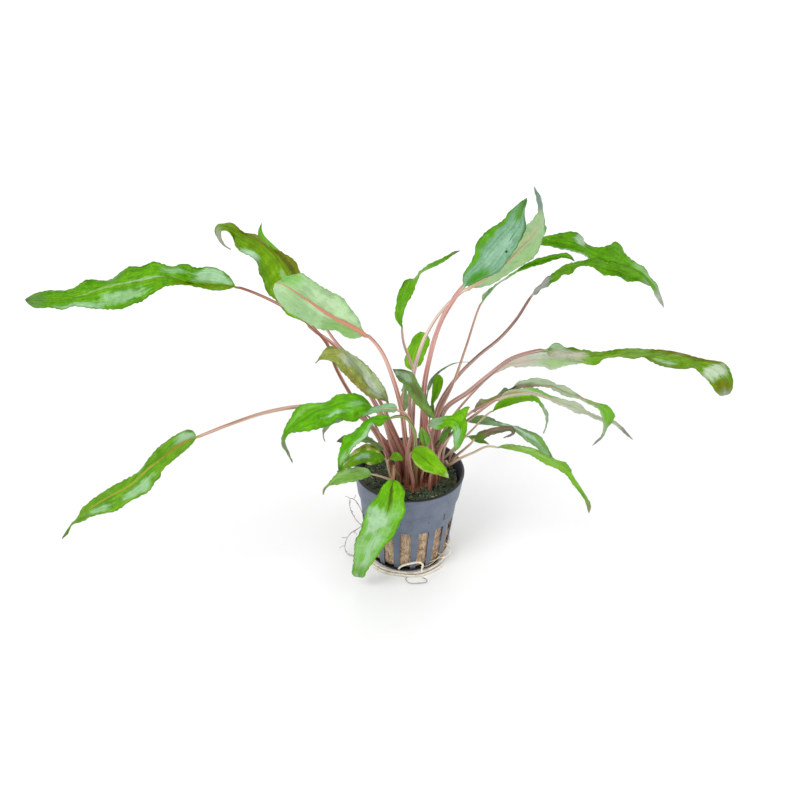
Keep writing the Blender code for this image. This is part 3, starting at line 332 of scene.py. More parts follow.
# The seen edges of the main leaves, each from neck to tip, as (right, above): the midrib where it bends
# more finely than the points above, the margin that is higher in the view and the one that is lower
Edges = namedtuple("Edges", "midrib over under")
EDGES = {
    "leaf_left_edge": Edges(
        ((-13.2, 9.6), (-16.3, 12), (-19.3, 13.8), (-24, 15), (-30, 15.4), (-36.5, 13.4)),
        ((-12.6, 9.6), (-16.2, 13.1), (-19, 15.2), (-21.9, 16.5), (-27, 17.3), (-33.3, 16.2)),
        ((-13.8, 8.8), (-16.6, 10.8), (-19.6, 12.3), (-23, 13), (-28, 13.4), (-34, 13))),
    "leaf_far_left": Edges(
        ((-87, 91), (-97, 92), (-109.5, 92.5), (-120, 95.5), (-138, 93), (-152, 90.5), (-165, 86),
         (-192.5, 84.5)),
        ((-90, 96), (-93, 98.5), (-99.5, 101), (-106, 100.5), (-113, 102.5), (-119, 101), (-127.5, 103.5),
         (-135, 101), (-140, 101), (-151, 94), (-161, 94.5), (-170, 89.5), (-181, 89), (-187.5, 87.5)),
        ((-90, 89.8), (-96.5, 88.9), (-106, 90.6), (-115, 91.8), (-123, 90.6), (-129, 87), (-134, 83.5),
         (-138.5, 82), (-143.5, 80), (-158.5, 80), (-168.5, 81), (-172.5, 79.5), (-180, 80.5),
         (-188, 80.5))),
    "leaf_far_left_low": Edges(
        ((-106.3, 15.6), (-114.6, 12), (-124.2, 4.8), (-133, -2.4), (-140.1, -8.8), (-148.9, -13.6),
         (-156.9, -18.3), (-165.6, -25.5), (-169.6, -29.5), (-173.2, -35)),
        ((-108.2, 19), (-111.4, 19.3), (-115.4, 17.5), (-121, 14), (-126.5, 9.6), (-130.5, 4.8),
         (-133.8, 0), (-137.7, -3.2), (-144, -6.4), (-149.7, -9.6), (-155.3, -13.2), (-160, -16.7),
         (-164, -20.7), (-165.6, -23.9), (-168.8, -27.5), (-171.2, -31)),
        ((-107.4, 13.6), (-113, 8), (-119.4, 2.8), (-123.4, -1.2), (-124.2, -4), (-126.6, -6.4),
         (-129.8, -11.2), (-134.6, -14), (-140, -16.7), (-144, -19.9), (-148.9, -21.9), (-153.7, -22.7),
         (-159.3, -24.3), (-163.3, -26.7), (-168, -27.9), (-170.4, -32.7))),
    "leaf_upper_left": Edges(
        ((-49.8, 71.3), (-56, 87), (-62.3, 99.3), (-68, 107.5), (-73.8, 112.7), (-80.7, 116.1),
         (-87.6, 119.6), (-93.3, 121.6), (-96.3, 120.3), (-96.3, 116.3), (-94.3, 112.8), (-89.3, 109.6)),
        ((-49, 77), (-51.5, 88), (-54.8, 98.3), (-56.6, 102.9), (-62.3, 107.5), (-69.8, 111.2),
         (-73.8, 114.8), (-77.2, 117.3), (-81.8, 117.8), (-84.7, 119.6), (-88, 122.6), (-93.3, 122.6),
         (-96.5, 121.9), (-97.3, 117.6), (-95.2, 114.4), (-91.4, 110.4)),
        ((-54.8, 74.2), (-60.6, 76.5), (-64.6, 81.1), (-67.5, 84.8), (-70.9, 87.4), (-73.2, 93.7),
         (-75.2, 98), (-76, 102.3), (-80, 106.4), (-84, 108), (-87, 111.5), (-88.4, 115.8), (-91.6, 119),
         (-94, 118.7), (-94.2, 116), (-92.8, 112.8))),
    "leaf_left_underside": Edges(
        ((-22, 67.3), (-30.2, 71.9), (-38.2, 75.9), (-44.5, 80), (-50.2, 84), (-58.9, 89.7), (-64.4, 92.6),
         (-67.4, 92), (-64, 86)),
        ((-23.8, 70.2), (-25, 74.2), (-27.9, 78.2), (-30.7, 81.7), (-33, 85.1), (-37, 87.4), (-42.2, 90),
         (-46.2, 92.6), (-49.7, 94.9), (-54.3, 97.8), (-57, 97.2), (-60, 96.6), (-63.3, 94.8), (-66, 93.4),
         (-65.5, 89.5)),
        ((-24.4, 65.6), (-29.6, 65), (-32.5, 66.2), (-35.9, 68.8), (-43.9, 69.3), (-47.4, 70.8),
         (-54.3, 74.8), (-60, 77.7), (-63.4, 81.1), (-66.3, 84.6), (-67.5, 87.4), (-68.2, 90), (-67.8, 91),
         (-65.5, 87.5))),
    "leaf_left_mottled": Edges(
        ((-10.5, 33), (-16.7, 37.9), (-21.7, 42.9), (-25.8, 49.5), (-30, 53.7), (-34, 57.8), (-38.3, 58),
         (-42.8, 56.2), (-47, 52.6)),
        ((-11.3, 37.5), (-15.5, 45), (-24.2, 54.1), (-29.8, 57.8), (-34.9, 60.3), (-41.2, 60.7),
         (-44.3, 56.8)),
        ((-12.8, 33.8), (-20, 35.8), (-26.3, 40.8), (-31.2, 45.8), (-34.8, 49.3), (-37.8, 52.8),
         (-41.8, 54.3), (-44.9, 54.1))),
    "leaf_left_wide": Edges(
        ((-19, 30.9), (-22.8, 33.5), (-28, 33.6), (-33.3, 32.7), (-38.7, 30.5), (-45, 28.7), (-51.6, 24.7),
         (-56.6, 22), (-61.5, 18), (-63, 14.9), (-62.4, 11.3), (-61, 9.1), (-60, 6.4), (-58.3, 2.6)),
        ((-21.3, 34.5), (-27, 37.6), (-31.6, 37.3), (-36, 37), (-40.9, 33.6), (-49.4, 32.6), (-53.9, 32),
         (-57.5, 28.9), (-60, 24.7), (-61.9, 21.6), (-63, 18), (-64, 15), (-63.6, 11), (-61.9, 8.6),
         (-60.4, 6), (-58.8, 3.6)),
        ((-20.4, 27.6), (-24.4, 25.8), (-26.2, 23.6), (-29.3, 23.4), (-36, 24.7), (-38.3, 22.4), (-45, 20),
         (-49.4, 18.9), (-55.2, 18.2), (-60.2, 17.1), (-62, 14.4), (-61.2, 10.6), (-60.2, 8.6), (-59.4, 6),
         (-58.2, 3.6))),
    "leaf_left_pale": Edges(
        ((-6, 29.4), (-13.7, 29.6), (-18.2, 28.4), (-24, 26)),
        ((-6.6, 31.4), (-8.3, 32.6), (-11.9, 32.5), (-15.5, 31.4), (-18.2, 30.9), (-20.8, 28.7)),
        ((-7, 28.4), (-13.7, 28.4), (-18.2, 27.4), (-21.6, 26.6))),
    "leaf_left_down": Edges(
        ((-9.8, 25.6), (-14.8, 24.7), (-19, 24.7), (-22.6, 22), (-27, 16.6), (-31.6, 9.5), (-34.3, 3.3),
         (-35.4, -0.4)),
        ((-12.4, 27), (-16.8, 26.5), (-20, 25), (-23, 23.3), (-24.4, 21.6), (-27, 19.3), (-30.2, 17),
         (-33.3, 15.8), (-33.6, 14), (-34.7, 9.9), (-35.6, 5.9), (-35.8, 1.5)),
        ((-11.9, 23.8), (-13.7, 21.6), (-15.5, 21), (-17.7, 22.4), (-20, 18.9), (-21.3, 15.8),
         (-24.4, 13.5), (-28, 10.4), (-30.2, 6.8), (-32.5, 4), (-34.2, 0))),
    "leaf_left_scorched": Edges(
        ((-12.4, 5.6), (-18.8, 6.8), (-24.8, 5.8), (-29.8, 3.3), (-33.8, 0.6), (-36, -1.7)),
        ((-14.6, 8.6), (-16.4, 10.8), (-18.6, 12.2), (-21.3, 12.4), (-24.4, 11.3), (-27, 9.5), (-29.3, 7.7),
         (-31.6, 5), (-33.3, 2.8), (-35, 0.6)),
        ((-12.4, 4.6), (-15, 2.8), (-18.2, 1.9), (-20.8, 1.9), (-22.6, 3), (-25.8, 1.9), (-28.9, 0.6),
         (-32.5, -0.4), (-35, -2.2))),
    "leaf_left_low": Edges(
        ((-19, -2.6), (-24.8, -1.7), (-29.8, -3.2), (-34.8, -5.2), (-39.8, -8), (-42.5, -10.2), (-43, -13)),
        ((-20.4, -0.4), (-23.5, 0.8), (-27, 0.8), (-30.7, 0.1), (-33.8, -1), (-36.9, -3), (-40, -6.6),
         (-42.3, -9.3), (-43.4, -11)),
        ((-20, -3.9), (-23.5, -5.3), (-28, -6.6), (-32.5, -7.3), (-36, -8), (-40.5, -8.9), (-42, -10.8))),
    "leaf_front_drooping": Edges(
        ((-8.2, -6), (-9.3, -11.2), (-9.8, -16.3), (-12.8, -26.5), (-15.9, -31.6), (-19.5, -39.3),
         (-23, -46.9), (-25.2, -54)),
        ((-6.2, -6), (-3.7, -8.7), (-2.4, -11.2), (-2.6, -16.3), (-2, -20.9), (-4.2, -26), (-6.2, -30),
         (-8.2, -34.2), (-10.8, -36.7), (-13.3, -39.8), (-15.9, -43.4), (-19, -48), (-21.5, -51.5),
         (-22.8, -54.2)),
        ((-9.8, -5.6), (-12.3, -7.2), (-14.4, -10.2), (-16.4, -14.3), (-20.5, -18.4), (-22.5, -23.5),
         (-23.6, -27.6), (-24.6, -31), (-27, -35.7), (-27.6, -40.8), (-28, -46.9), (-28.6, -52.4),
         (-27.6, -53.6))),
    "leaf_front_oval": Edges(
        ((1.5, 8.5), (8, 4.1), (11.2, 1.6), (19.6, -4.6)),
        ((1, 8.6), (2, 9.9), (4.6, 11.3), (7, 11.5), (10.2, 9.7), (12.7, 7.7), (14.8, 4.6), (16.8, 2),
         (18.8, -1)),
        ((1, 6.2), (2, 3.6), (4.6, 0.5), (8, -1.5), (12.2, -2.6), (16.3, -3.8))),
    "leaf_centre_olive": Edges(
        ((12.4, 24.7), (9, 30), (4.5, 36), (0, 42), (-4, 46.5), (-8.2, 49.6)),
        ((12, 28), (10, 31.4), (7, 38), (4.3, 42.9), (1.4, 47.7), (-3.4, 49.6)),
        ((10.6, 25.4), (5.2, 30.5), (0.5, 35.3), (-1.5, 40), (-5.3, 43.9))),
    "leaf_back_oval": Edges(
        ((1.5, 49), (2, 55), (4, 61), (5.6, 68.4)),
        ((-1.4, 50.5), (-2.4, 52.5), (-1.5, 58.2), (0.5, 63), (3, 67)),
        ((4, 50.5), (6.2, 52.5), (8, 58.2), (10, 63), (9.4, 66.4), (7.4, 68))),
    "leaf_back_narrow": Edges(
        ((-4, 70.6), (-5, 76), (-4.2, 82), (-2, 88.5), (2, 94.3), (4.8, 97.4), (10, 101), (17, 104.4),
         (25, 109)),
        ((-7.2, 75.5), (-6.7, 82), (-5.3, 88.8), (-1.5, 94.6), (3.4, 95.5), (4.3, 97.6), (8, 101.2),
         (15.8, 105), (23.5, 108.9)),
        ((-2.9, 77.3), (-1.5, 82), (1.4, 86.9), (4, 93.6), (5.4, 97.2), (12, 100.6), (18.7, 104.4),
         (22.5, 107.4))),
    "leaf_right_hanging": Edges(
        ((9.6, 22), (14, 23.4), (19, 24.4), (24, 23.6), (25.8, 19.5), (24.6, 14), (22.6, 8.4)),
        ((10.6, 24.4), (13.4, 25.4), (18, 26.2), (22.2, 27), (24.6, 29.4), (27.4, 30.4), (30.2, 31.2),
         (29.4, 28.8), (28.2, 26), (28.9, 22), (28.4, 18.2), (26.6, 13.4), (24.5, 9.8)),
        ((11.5, 20), (15.6, 19.4), (19.6, 21), (21.2, 20), (21.8, 16.4), (22.1, 11.9))),
    "leaf_top_blue": Edges(
        ((27, 91.5), (31.6, 97.7), (35.4, 100.3), (39.2, 104.2), (45.7, 112.6), (49.6, 117.5), (53, 122),
         (55.3, 127), (57.2, 131.3), (58.5, 135.3)),
        ((26.6, 95), (27.7, 98.8), (30.4, 102.6), (32, 106), (32.9, 109), (33, 111.8), (35.4, 115.2),
         (36.9, 117.2), (39.6, 119.6), (42.7, 121.4), (45.7, 123.5), (48.4, 126), (49.6, 128.3),
         (51.8, 130.2), (54.5, 132.5), (56.4, 134)),
        ((28.5, 91.2), (31.2, 91.9), (35.4, 94.2), (40, 96), (44.2, 98), (46.5, 100.3), (48.8, 103.4),
         (51, 106.8), (53.4, 110.3), (55.3, 113.7), (56.8, 116.4), (57.8, 119), (58.4, 121.8),
         (57.8, 125.2), (57.6, 128.6), (58.2, 131.3), (58.9, 134))),
    "leaf_top_underside": Edges(
        ((29.3, 90.4), (35.3, 93.8), (43.8, 99.8), (51.5, 106), (56, 110.7), (59.5, 114), (62.6, 117.9),
         (64.5, 121.8), (65.6, 126), (65.4, 129), (65.3, 132.8), (64.3, 136.8), (62.4, 140.9)),
        ((31, 96), (38, 104), (46, 112), (53, 118), (58.7, 121.8), (61, 123.7), (62.6, 126), (64.4, 128.6),
         (64.3, 130.9), (63.7, 133.2), (63.3, 135.9), (62.5, 138.6)),
        ((31.2, 90.4), (34.3, 90.2), (39.2, 91.5), (43.4, 93.4), (46.5, 95.4), (50.3, 98), (54, 100.3),
         (57.2, 102.2), (61, 104.5), (63.3, 106.8), (65.2, 110.7), (66.4, 114.5), (67.5, 117.5),
         (68.7, 119.8), (67.7, 122), (67.9, 124.6), (67.2, 126.7), (66.8, 129.8), (66.2, 133.6),
         (65.4, 136.7), (63.9, 138.6))),
    "leaf_right_thin": Edges(
        ((36.4, 83.6), (39, 86.6), (43.4, 91.8), (49, 95.8), (54.5, 99), (60, 101.3), (66, 103.2),
         (72, 105), (76.5, 106), (80, 105.6), (82.8, 103.4)),
        ((36.4, 86.8), (39.4, 89.2), (43.3, 92.4), (49.2, 96.2), (54.5, 99.6), (58.4, 102.4), (62.9, 104.5),
         (67.9, 106), (72.5, 107.2), (79.4, 107.5), (81.2, 106)),
        ((38.4, 86.4), (40.4, 88.8), (44, 92), (50, 95.8), (56.4, 99.2), (61, 100.6), (64.9, 101.5),
         (68.7, 103), (71.4, 103.8), (76.3, 105.4), (79.6, 104.8))),
    "leaf_right_bright": Edges(
        ((64, 113.2), (75, 112), (82, 110.4), (88, 108.4), (97.6, 104), (103, 102.5), (110.5, 100),
         (117, 96.8), (121.4, 92), (124.5, 86), (127, 80.5)),
        ((66, 115.6), (71.3, 116.8), (78, 118.2), (80.8, 118.6), (86.3, 116.3), (88.5, 112.3),
         (93.8, 110.7), (100.5, 112), (103, 113.5), (104.8, 112.7), (108, 107.5), (113.4, 102.7),
         (117.2, 101), (120.5, 95.5), (123.7, 92.2), (124.6, 89.3), (126.8, 83)),
        ((65.5, 111.8), (69.8, 111.3), (72.7, 110.3), (78, 109.4), (85, 107.5), (88, 106), (89.9, 104),
         (97.6, 102.7), (103.3, 101.3), (110.5, 98.9), (116.7, 95.5), (121, 90.3), (122.5, 86.9),
         (124.4, 83.6))),
    "leaf_right_arching": Edges(
        ((61.5, 86.8), (66, 91.3), (69.6, 94.6), (75, 97.6), (80.4, 100), (86.4, 101.6), (92, 102),
         (98.4, 99.6), (105, 97.6), (112, 95), (120.3, 91.3)),
        ((63, 90.3), (66, 92.6), (67.7, 95), (71.3, 97.4), (73.7, 99.3), (77, 101.5), (80.8, 102.9),
         (84.2, 103.6), (89.9, 104.8), (94.4, 105.2), (96.4, 104), (98.6, 102.2), (100.6, 103.6),
         (106, 102), (111, 100.2), (117, 96.4)),
        ((63.6, 86.9), (66, 89.8), (68.9, 90.7), (71.3, 93), (74, 94), (76.5, 96.5), (81.3, 97.4),
         (83.2, 99.8), (89.9, 101.3), (94.7, 98.4), (97.6, 96.7), (105.2, 95.8), (108, 93.6), (115.3, 93.4),
         (118.6, 91.7))),
    "leaf_right_long": Edges(
        ((67.8, 59.3), (76, 58.3), (85, 57), (95, 56.5), (106, 57.3), (118, 57.5), (131, 55), (141, 53),
         (150, 50), (156, 44), (157.4, 36.6)),
        ((69, 59.8), (71.3, 62.3), (74.7, 62.6), (78.2, 60.3), (81.2, 60.8), (84.3, 59.4), (88.9, 59.4),
         (91.2, 58.5), (97.3, 58.6), (102.7, 59.5), (111.9, 60), (123.3, 59.5), (131.8, 58.6),
         (140.9, 56.3), (148.6, 54.4), (155.5, 53.3), (158.5, 51.7), (160.5, 47.9), (161.6, 42.5),
         (160.8, 38.7), (159, 36.8)),
        ((69.8, 56.3), (74.3, 55.3), (78.2, 55.3), (85, 53.3), (88.9, 52), (94.3, 52.5), (95.8, 54),
         (98.8, 55.2), (106.5, 55.5), (111, 54.9), (116.5, 55.7), (121, 53.3), (125.6, 51.3), (131, 50.2),
         (137, 49.6), (141.7, 50.2), (145.5, 47), (150, 42.5), (153.2, 37.9), (155.6, 36.2))),
    "leaf_right_pale": Edges(
        ((44, 49), (52, 52.4), (62, 54.4), (75, 54.6), (86, 53.6), (93, 52.6)),
        ((46, 51.6), (51.3, 54.8), (56.8, 57.2), (62, 58.4), (68.2, 58.6), (79.7, 57), (88, 55)),
        ((45.3, 48.7), (51.3, 51), (55.2, 50.6), (62, 51), (66.7, 51), (70.5, 49.3), (75.9, 50.6), (82, 52),
         (88, 52.6))),
    "leaf_right_hooked": Edges(
        ((32.4, 29.4), (39, 33), (44, 35.4), (47, 37.6), (50, 39.5), (58, 41.5), (64, 41.8), (71, 41.5),
         (78, 38.5), (85, 36), (90, 33.5), (95, 31.5), (98.9, 28), (99.4, 23.5), (97.6, 19), (97, 18.2),
         (95.8, 15.8), (93.7, 13.7), (91, 11.3)),
        ((32.8, 31.4), (34.4, 33.6), (35.7, 35.1), (37, 34.5), (41, 35.5), (44.2, 37.2), (47.4, 40.4),
         (49.5, 39.9), (52, 40.8), (53.6, 43), (55.6, 44), (59, 44.5), (62.9, 45.4), (68.2, 44.5),
         (74, 42.2), (78.2, 41), (83.5, 37.6), (87.4, 34.9), (91.2, 33.6), (95, 32.6), (98.8, 31.6),
         (101.5, 28.8), (102.6, 26.3), (101.6, 23.9), (99.5, 21.3), (98, 18.6), (96.6, 15.8), (94.4, 13.6)),
        ((36, 30.7), (40, 32.6), (44.6, 34.9), (48.6, 38), (53, 39.6), (64, 40.8), (69.8, 40.4), (72, 39),
         (75.9, 37), (79.7, 35.6), (85, 34.4), (88, 32.8), (92.7, 30.6), (94.6, 29), (95.8, 26.4),
         (96.6, 22.6), (96.4, 18.9), (95.4, 16.2), (93.6, 14.4))),
    "leaf_right_purple": Edges(
        ((45, 35.2), (52, 37.4), (60, 38.4), (67, 36.4), (75, 33.6), (84, 30), (91, 26.6), (97.4, 24.4),
         (101.6, 23), (104.7, 21.1), (106.8, 18.9), (109.5, 16.6), (111.6, 14.2)),
        ((48.3, 38.7), (54.5, 39.9), (60.6, 40.6), (64, 39.9), (68.2, 37.6), (74.4, 35.3), (79.7, 34),
         (85, 32.2), (88, 29.5), (92, 27.2), (97, 25.6), (102, 24), (105.4, 21.6), (108, 18.9)),
        ((47, 35), (52.9, 36), (60.6, 36.4), (66.7, 35.3), (72.8, 32.6), (78.2, 30.3), (84.3, 27.6),
         (88.4, 27), (91.6, 25), (95.5, 23.6), (101, 22.4), (104, 20.6), (107, 17.6))),
    "leaf_right_yellow": Edges(
        ((41.6, 28.8), (45.4, 31.4), (50, 33.4), (57, 35.2), (63, 34.8), (66.6, 31), (68.4, 27),
         (68.6, 22.6), (66.8, 17.6)),
        ((42.6, 31.2), (45.3, 34.3), (52.9, 36.2), (60.6, 37), (64.4, 35.4), (67, 31.4), (69.2, 27.9),
         (69.4, 24.7), (68.3, 21)),
        ((45.3, 30), (49, 31.2), (52.9, 32.4), (60.6, 33.8), (63.8, 32.8), (66, 29.8), (67.7, 26.3),
         (68, 22))),
    "leaf_right_grey": Edges(
        ((28, 23.6), (36, 24.4), (44, 22.4), (52, 20.6), (58, 17.6), (63, 14.4), (67.4, 10), (71.6, 5.3)),
        ((29.7, 25.4), (38.9, 26.2), (44.6, 23.4), (49.5, 22.2), (54.2, 20.9), (59, 19.2), (64.2, 17),
         (65.8, 15.8), (67.9, 12.6), (70, 8.9)),
        ((32.8, 22.4), (40.3, 21.6), (45.3, 20.9), (52, 18.8), (55.3, 16.4), (57.4, 14.2), (60.5, 12.6),
         (63.2, 10.5), (65.8, 7.9), (69, 5.8))),
    "leaf_right_curled": Edges(
        ((32.6, 15), (40, 18.4), (46, 19.8), (51, 19.6), (52, 17.9), (50, 16.6), (47, 15.4)),
        ((34.3, 18), (40, 19.9), (45.8, 21), (51.5, 20.9), (53, 18.6), (51, 16.4)),
        ((34, 13.6), (41.2, 16.8), (46.9, 18.2), (50.4, 18.6), (51, 17.8), (49.6, 17))),
    "leaf_right_low": Edges(
        ((44, 10.7), (53.2, 10.4), (59, 9.2), (65.6, 6), (73, 2.4), (79, -1.6), (82, -5), (85, -9.6),
         (88, -14.4), (89.6, -18.6), (89.5, -22.4)),
        ((45.3, 11.4), (48.4, 12.2), (53.2, 11.8), (59, 10.8), (63.7, 9.5), (67.4, 7), (71.6, 5.3),
         (75.3, 3.9), (77.9, 3.2), (80, 0.5), (81.6, -3.2), (84.2, -7.4), (86.8, -11.6), (88.9, -14.8),
         (90.3, -17.9), (90.3, -20)),
        ((46.3, 10.3), (53.2, 8.7), (59, 7.4), (63.7, 4.7), (68.4, 2), (73.7, -0.3), (77.9, -2.9),
         (80, -5.8), (83.2, -10), (86.8, -14.9), (88.3, -18.5), (88.9, -21.2))),
}

# Leaves whose underside faces the viewer, and leaves that turn from one side to the other: for each of
# those, +1 where the higher margin lies behind the midrib and -1 where it lies in front, from neck to tip
UNDERSIDE_SEEN = ("leaf_left_underside", "leaf_centre_pale", "leaf_top_underside", "leaf_right_pale",
                  "leaf_right_hooked", "leaf_right_purple")
LEANS = {"leaf_right_hooked": (-1, -1, -1, -0.6, 0.4, 0.8), "leaf_front_drooping": (0.3, 0.1, -0.3),
         "leaf_right_hanging": (1, 0.6, 0.2), "leaf_right_arching": (0.9, 1, 1)}


# Camera and studio

def make_camera():
    """A camera whose frame matches the photo: the rim's centre falls on RIM_IN_IMAGE."""
    target = Vector((0.0, 0.0, POT_HEIGHT)) * MM
    focal = LENS / SENSOR * IMAGE_SIZE
    off_right, off_down = ((pixel - IMAGE_SIZE / 2) / focal for pixel in RIM_IN_IMAGE)
    forward = Vector((0.0, cos(CAMERA_PITCH), -sin(CAMERA_PITCH)))
    up = Vector((0.0, sin(CAMERA_PITCH), cos(CAMERA_PITCH)))
    right = Vector((1.0, 0.0, 0.0))
    image_right = right * cos(CAMERA_TILT) + up * sin(CAMERA_TILT)
    image_up = up * cos(CAMERA_TILT) - right * sin(CAMERA_TILT)
    axis = (forward + image_up * off_down - image_right * off_right).normalized()
    x = (image_right - axis * image_right.dot(axis)).normalized()
    y = (-axis).cross(x)
    data = bpy.data.cameras.new("photo_camera")
    data.lens = LENS
    data.sensor_width = SENSOR
    data.clip_start = NEAREST_SEEN
    camera = link_object("photo_camera", data)
    turn = Matrix((x, y, -axis)).transposed().to_4x4()
    camera.matrix_world = Matrix.Translation(target - forward * CAMERA_DISTANCE * MM) @ turn
    bpy.context.scene.camera = camera


def link_object(name, data):
    """A new object in the scene."""
    made = bpy.data.objects.new(name, data)
    bpy.context.scene.collection.objects.link(made)
    return made


def make_studio():
    """A pale floor, a white surround and soft square lamps that point at the plant."""
    world = bpy.data.worlds.new("studio")
    world.use_nodes = True
    surround = world.node_tree.nodes["Background"].inputs
    surround["Color"].default_value = (1.0, 1.0, 1.0, 1.0)
    surround["Strength"].default_value = SURROUND
    bpy.context.scene.world = world
    bpy.context.scene.view_settings.view_transform = "Standard"
    for name, (at, size, watts) in LAMPS.items():
        data = bpy.data.lights.new(name, "AREA")
        data.shape = "SQUARE"
        data.size = size
        data.energy = watts
        lamp = link_object(name, data)
        lamp.location = at
        lamp.rotation_euler = (LAMP_AIM - Vector(at)).to_track_quat("-Z", "Y").to_euler()
    data = bpy.data.meshes.new("studio_floor")
    corners = [(x * FLOOR_HALF, y * FLOOR_HALF, 0.0) for x, y in ((-1, -1), (1, -1), (1, 1), (-1, 1))]
    data.from_pydata(corners, [], [(0, 1, 2, 3)])
    data.materials.append(floor_material())
    floor = link_object("studio_floor", data)
    floor.location = (0.0, 0.0, -FLOOR_DROP)


def floor_material():
    """Matt white, which glows faintly far out."""
    build = Nodes("studio_floor")
    place_mm = build.position()
    x, y, _ = build.parts(place_mm)
    build.give("Base Color", build.mix(build.noise(place_mm, 3.0, 2.0), *FLOOR_TONES))
    build.give("Roughness", 0.9)
    build.give("Emission Strength", build.hypot(x, y).step(*GLOW_REACH) * FLOOR_GLOW)
    return build.material


# Lines

def place(view):
    """World points, in mm, for view points given as rows of (right, above, behind)."""
    right, above, behind = np.moveaxis(np.asarray(view, float), -1, 0)
    x = right * cos(CAMERA_TILT) - above * sin(CAMERA_TILT)
    rise = above * cos(CAMERA_TILT) + right * sin(CAMERA_TILT)
    near = CAMERA_DISTANCE + cos(CAMERA_PITCH) * behind
    z = rise * near - CAMERA_DISTANCE * sin(CAMERA_PITCH) * behind
    z = z / (CAMERA_DISTANCE * cos(CAMERA_PITCH) + sin(CAMERA_PITCH) * rise)
    wider = (near - sin(CAMERA_PITCH) * z) / CAMERA_DISTANCE
    return np.stack((x * wider, behind, POT_HEIGHT + z), axis=-1)


def unit(vectors, least=1e-9):
    """The vectors, each divided by its length or by the least one."""
    return vectors / np.maximum(np.linalg.norm(vectors, axis=-1), least)[..., None]


def distances(line):
    """How far along the line each of its points is."""
    return np.concatenate(([0.0], np.cumsum(np.linalg.norm(np.diff(line, axis=0), axis=1))))


def smooth_line(points, between=CURVE_STEPS):
    """A Catmull-Rom curve through the points, spaced by their distances."""
    pts = np.array(points, float)
    knots = np.concatenate(([0.0], np.cumsum(np.linalg.norm(np.diff(pts, axis=0), axis=1) ** 0.75)))
    steps = np.diff(knots)[:, None]
    secants = np.diff(pts, axis=0) / steps
    slopes = np.empty_like(pts)
    slopes[1:-1] = (secants[:-1] * steps[1:] + secants[1:] * steps[:-1]) / (steps[1:] + steps[:-1])
    slopes[0] = 1.5 * secants[0] - 0.5 * slopes[1]
    slopes[-1] = 1.5 * secants[-1] - 0.5 * slopes[-2]
    t = np.linspace(0.0, 1.0, between, endpoint=False)[:, None]
    line = []
    for i, h in enumerate(steps):
        line.extend((2 * t**3 - 3 * t**2 + 1) * pts[i] + (t**3 - 2 * t**2 + t) * h * slopes[i]
                    + (3 * t**2 - 2 * t**3) * pts[i + 1] + (t**3 - t**2) * h * slopes[i + 1])
    line.append(pts[-1])
    return np.array(line)


def at_shares(line, shares):
    """Points at these shares of the line's length."""
    along = distances(line)
    wanted = np.asarray(shares) * along[-1]
    return np.stack([np.interp(wanted, along, values) for values in line.T], axis=-1)


def softened(values, reach=3):
    """A running mean over reach neighbours on each side."""
    padded = np.pad(values, reach, mode="edge")
    return np.convolve(padded, np.ones(2 * reach + 1) / (2 * reach + 1), mode="valid")


def spread(values):
    """Evenly spaced shares from 0 to 1, and the values at them."""
    values = np.array(values if len(values) > 1 else values * 2, float)
    return np.linspace(0.0, 1.0, len(values)), values


def lumpy(points, scale, seed):
    """A cheap smooth noise, -1 to 1, for each point."""
    rng = np.random.default_rng(seed)
    total = np.zeros(len(points))
    for octave in range(4):
        size = scale / 1.9 ** octave
        direction = unit(rng.normal(size=(5, 3)))
        phase = rng.uniform(0, 2 * pi, 5)
        total += np.sin(points @ direction.T * (2 * pi / size) + phase).mean(axis=1) / 1.5 ** octave
    return total


# Blades

def blade_shape(leaf, t):
    """Half width of the blade, 0 to 1, from neck (t=0) to tip (t=1)."""
    t = np.clip(t / (1.0 - leaf.tail), 0.0, 1.0)
    rising = np.sin(0.5 * pi * np.minimum(t / leaf.widest, 1.0)) ** 0.8
    falling = (1.0 - (np.maximum(t - leaf.widest, 0.0) / (1.0 - leaf.widest)) ** leaf.full) ** 1.1
    return np.where(t < leaf.widest, rising, falling)


def blade_centre(leaf, edges):
    """The blade's midrib as view points. Its depths come from the leaf's own points."""
    points = np.array(leaf.blade, float)
    if edges:
        finer = np.array(edges.midrib, float)
        shares = distances(finer) / distances(finer)[-1]
        own_shares = distances(points[:, :2]) / distances(points[:, :2])[-1]
        points = np.column_stack((finer, np.interp(shares, own_shares, points[:, 2])))
    return smooth_line(np.vstack((leaf.stalk[-1], points)))[CURVE_STEPS:]


def margin_waves(leaf, t, seed):
    """Heights of the two margins' waves at shares t of the blade, in mm."""
    swell = leaf.ruffle * np.sin(pi * np.clip(t, 0, 1)) ** 0.5
    phase = 2.0 * pi * leaf.waves * t + seed
    over = np.sin(phase) + 0.45 * np.sin(2.3 * phase + 1.0 + seed)
    under = np.sin(phase + RUFFLE_LAG) + 0.45 * np.sin(2.1 * phase + 2.0 - seed)
    return swell * over, swell * under


def bites(along, seed):
    """Small irregular bites and swellings of a margin, in mm, at these distances along it."""
    fine = np.sin(along * 5.3 + 2.0 * np.sin(along * 1.1 + seed) + seed)
    broad = np.sin(along * 2.1 + 1.5 * np.sin(along * 0.7 - seed) + 2.0 * seed)
    return MARGIN_BITE * (0.5 * fine * (0.5 + 0.5 * np.sin(along * 0.43 + seed)) + broad)


def traced_margin(margin, middle, t, length, seed):
    """One margin in the view, with its bites, at shares t of the blade."""
    ends = np.vstack((middle[0, :2], margin, middle[-1, :2]))
    edge = at_shares(smooth_line(ends), t)
    outward = unit(edge - middle[:, :2], 0.3)
    return edge + outward * bites(t * length, seed)[:, None] * np.sin(pi * t)[:, None] ** 0.5


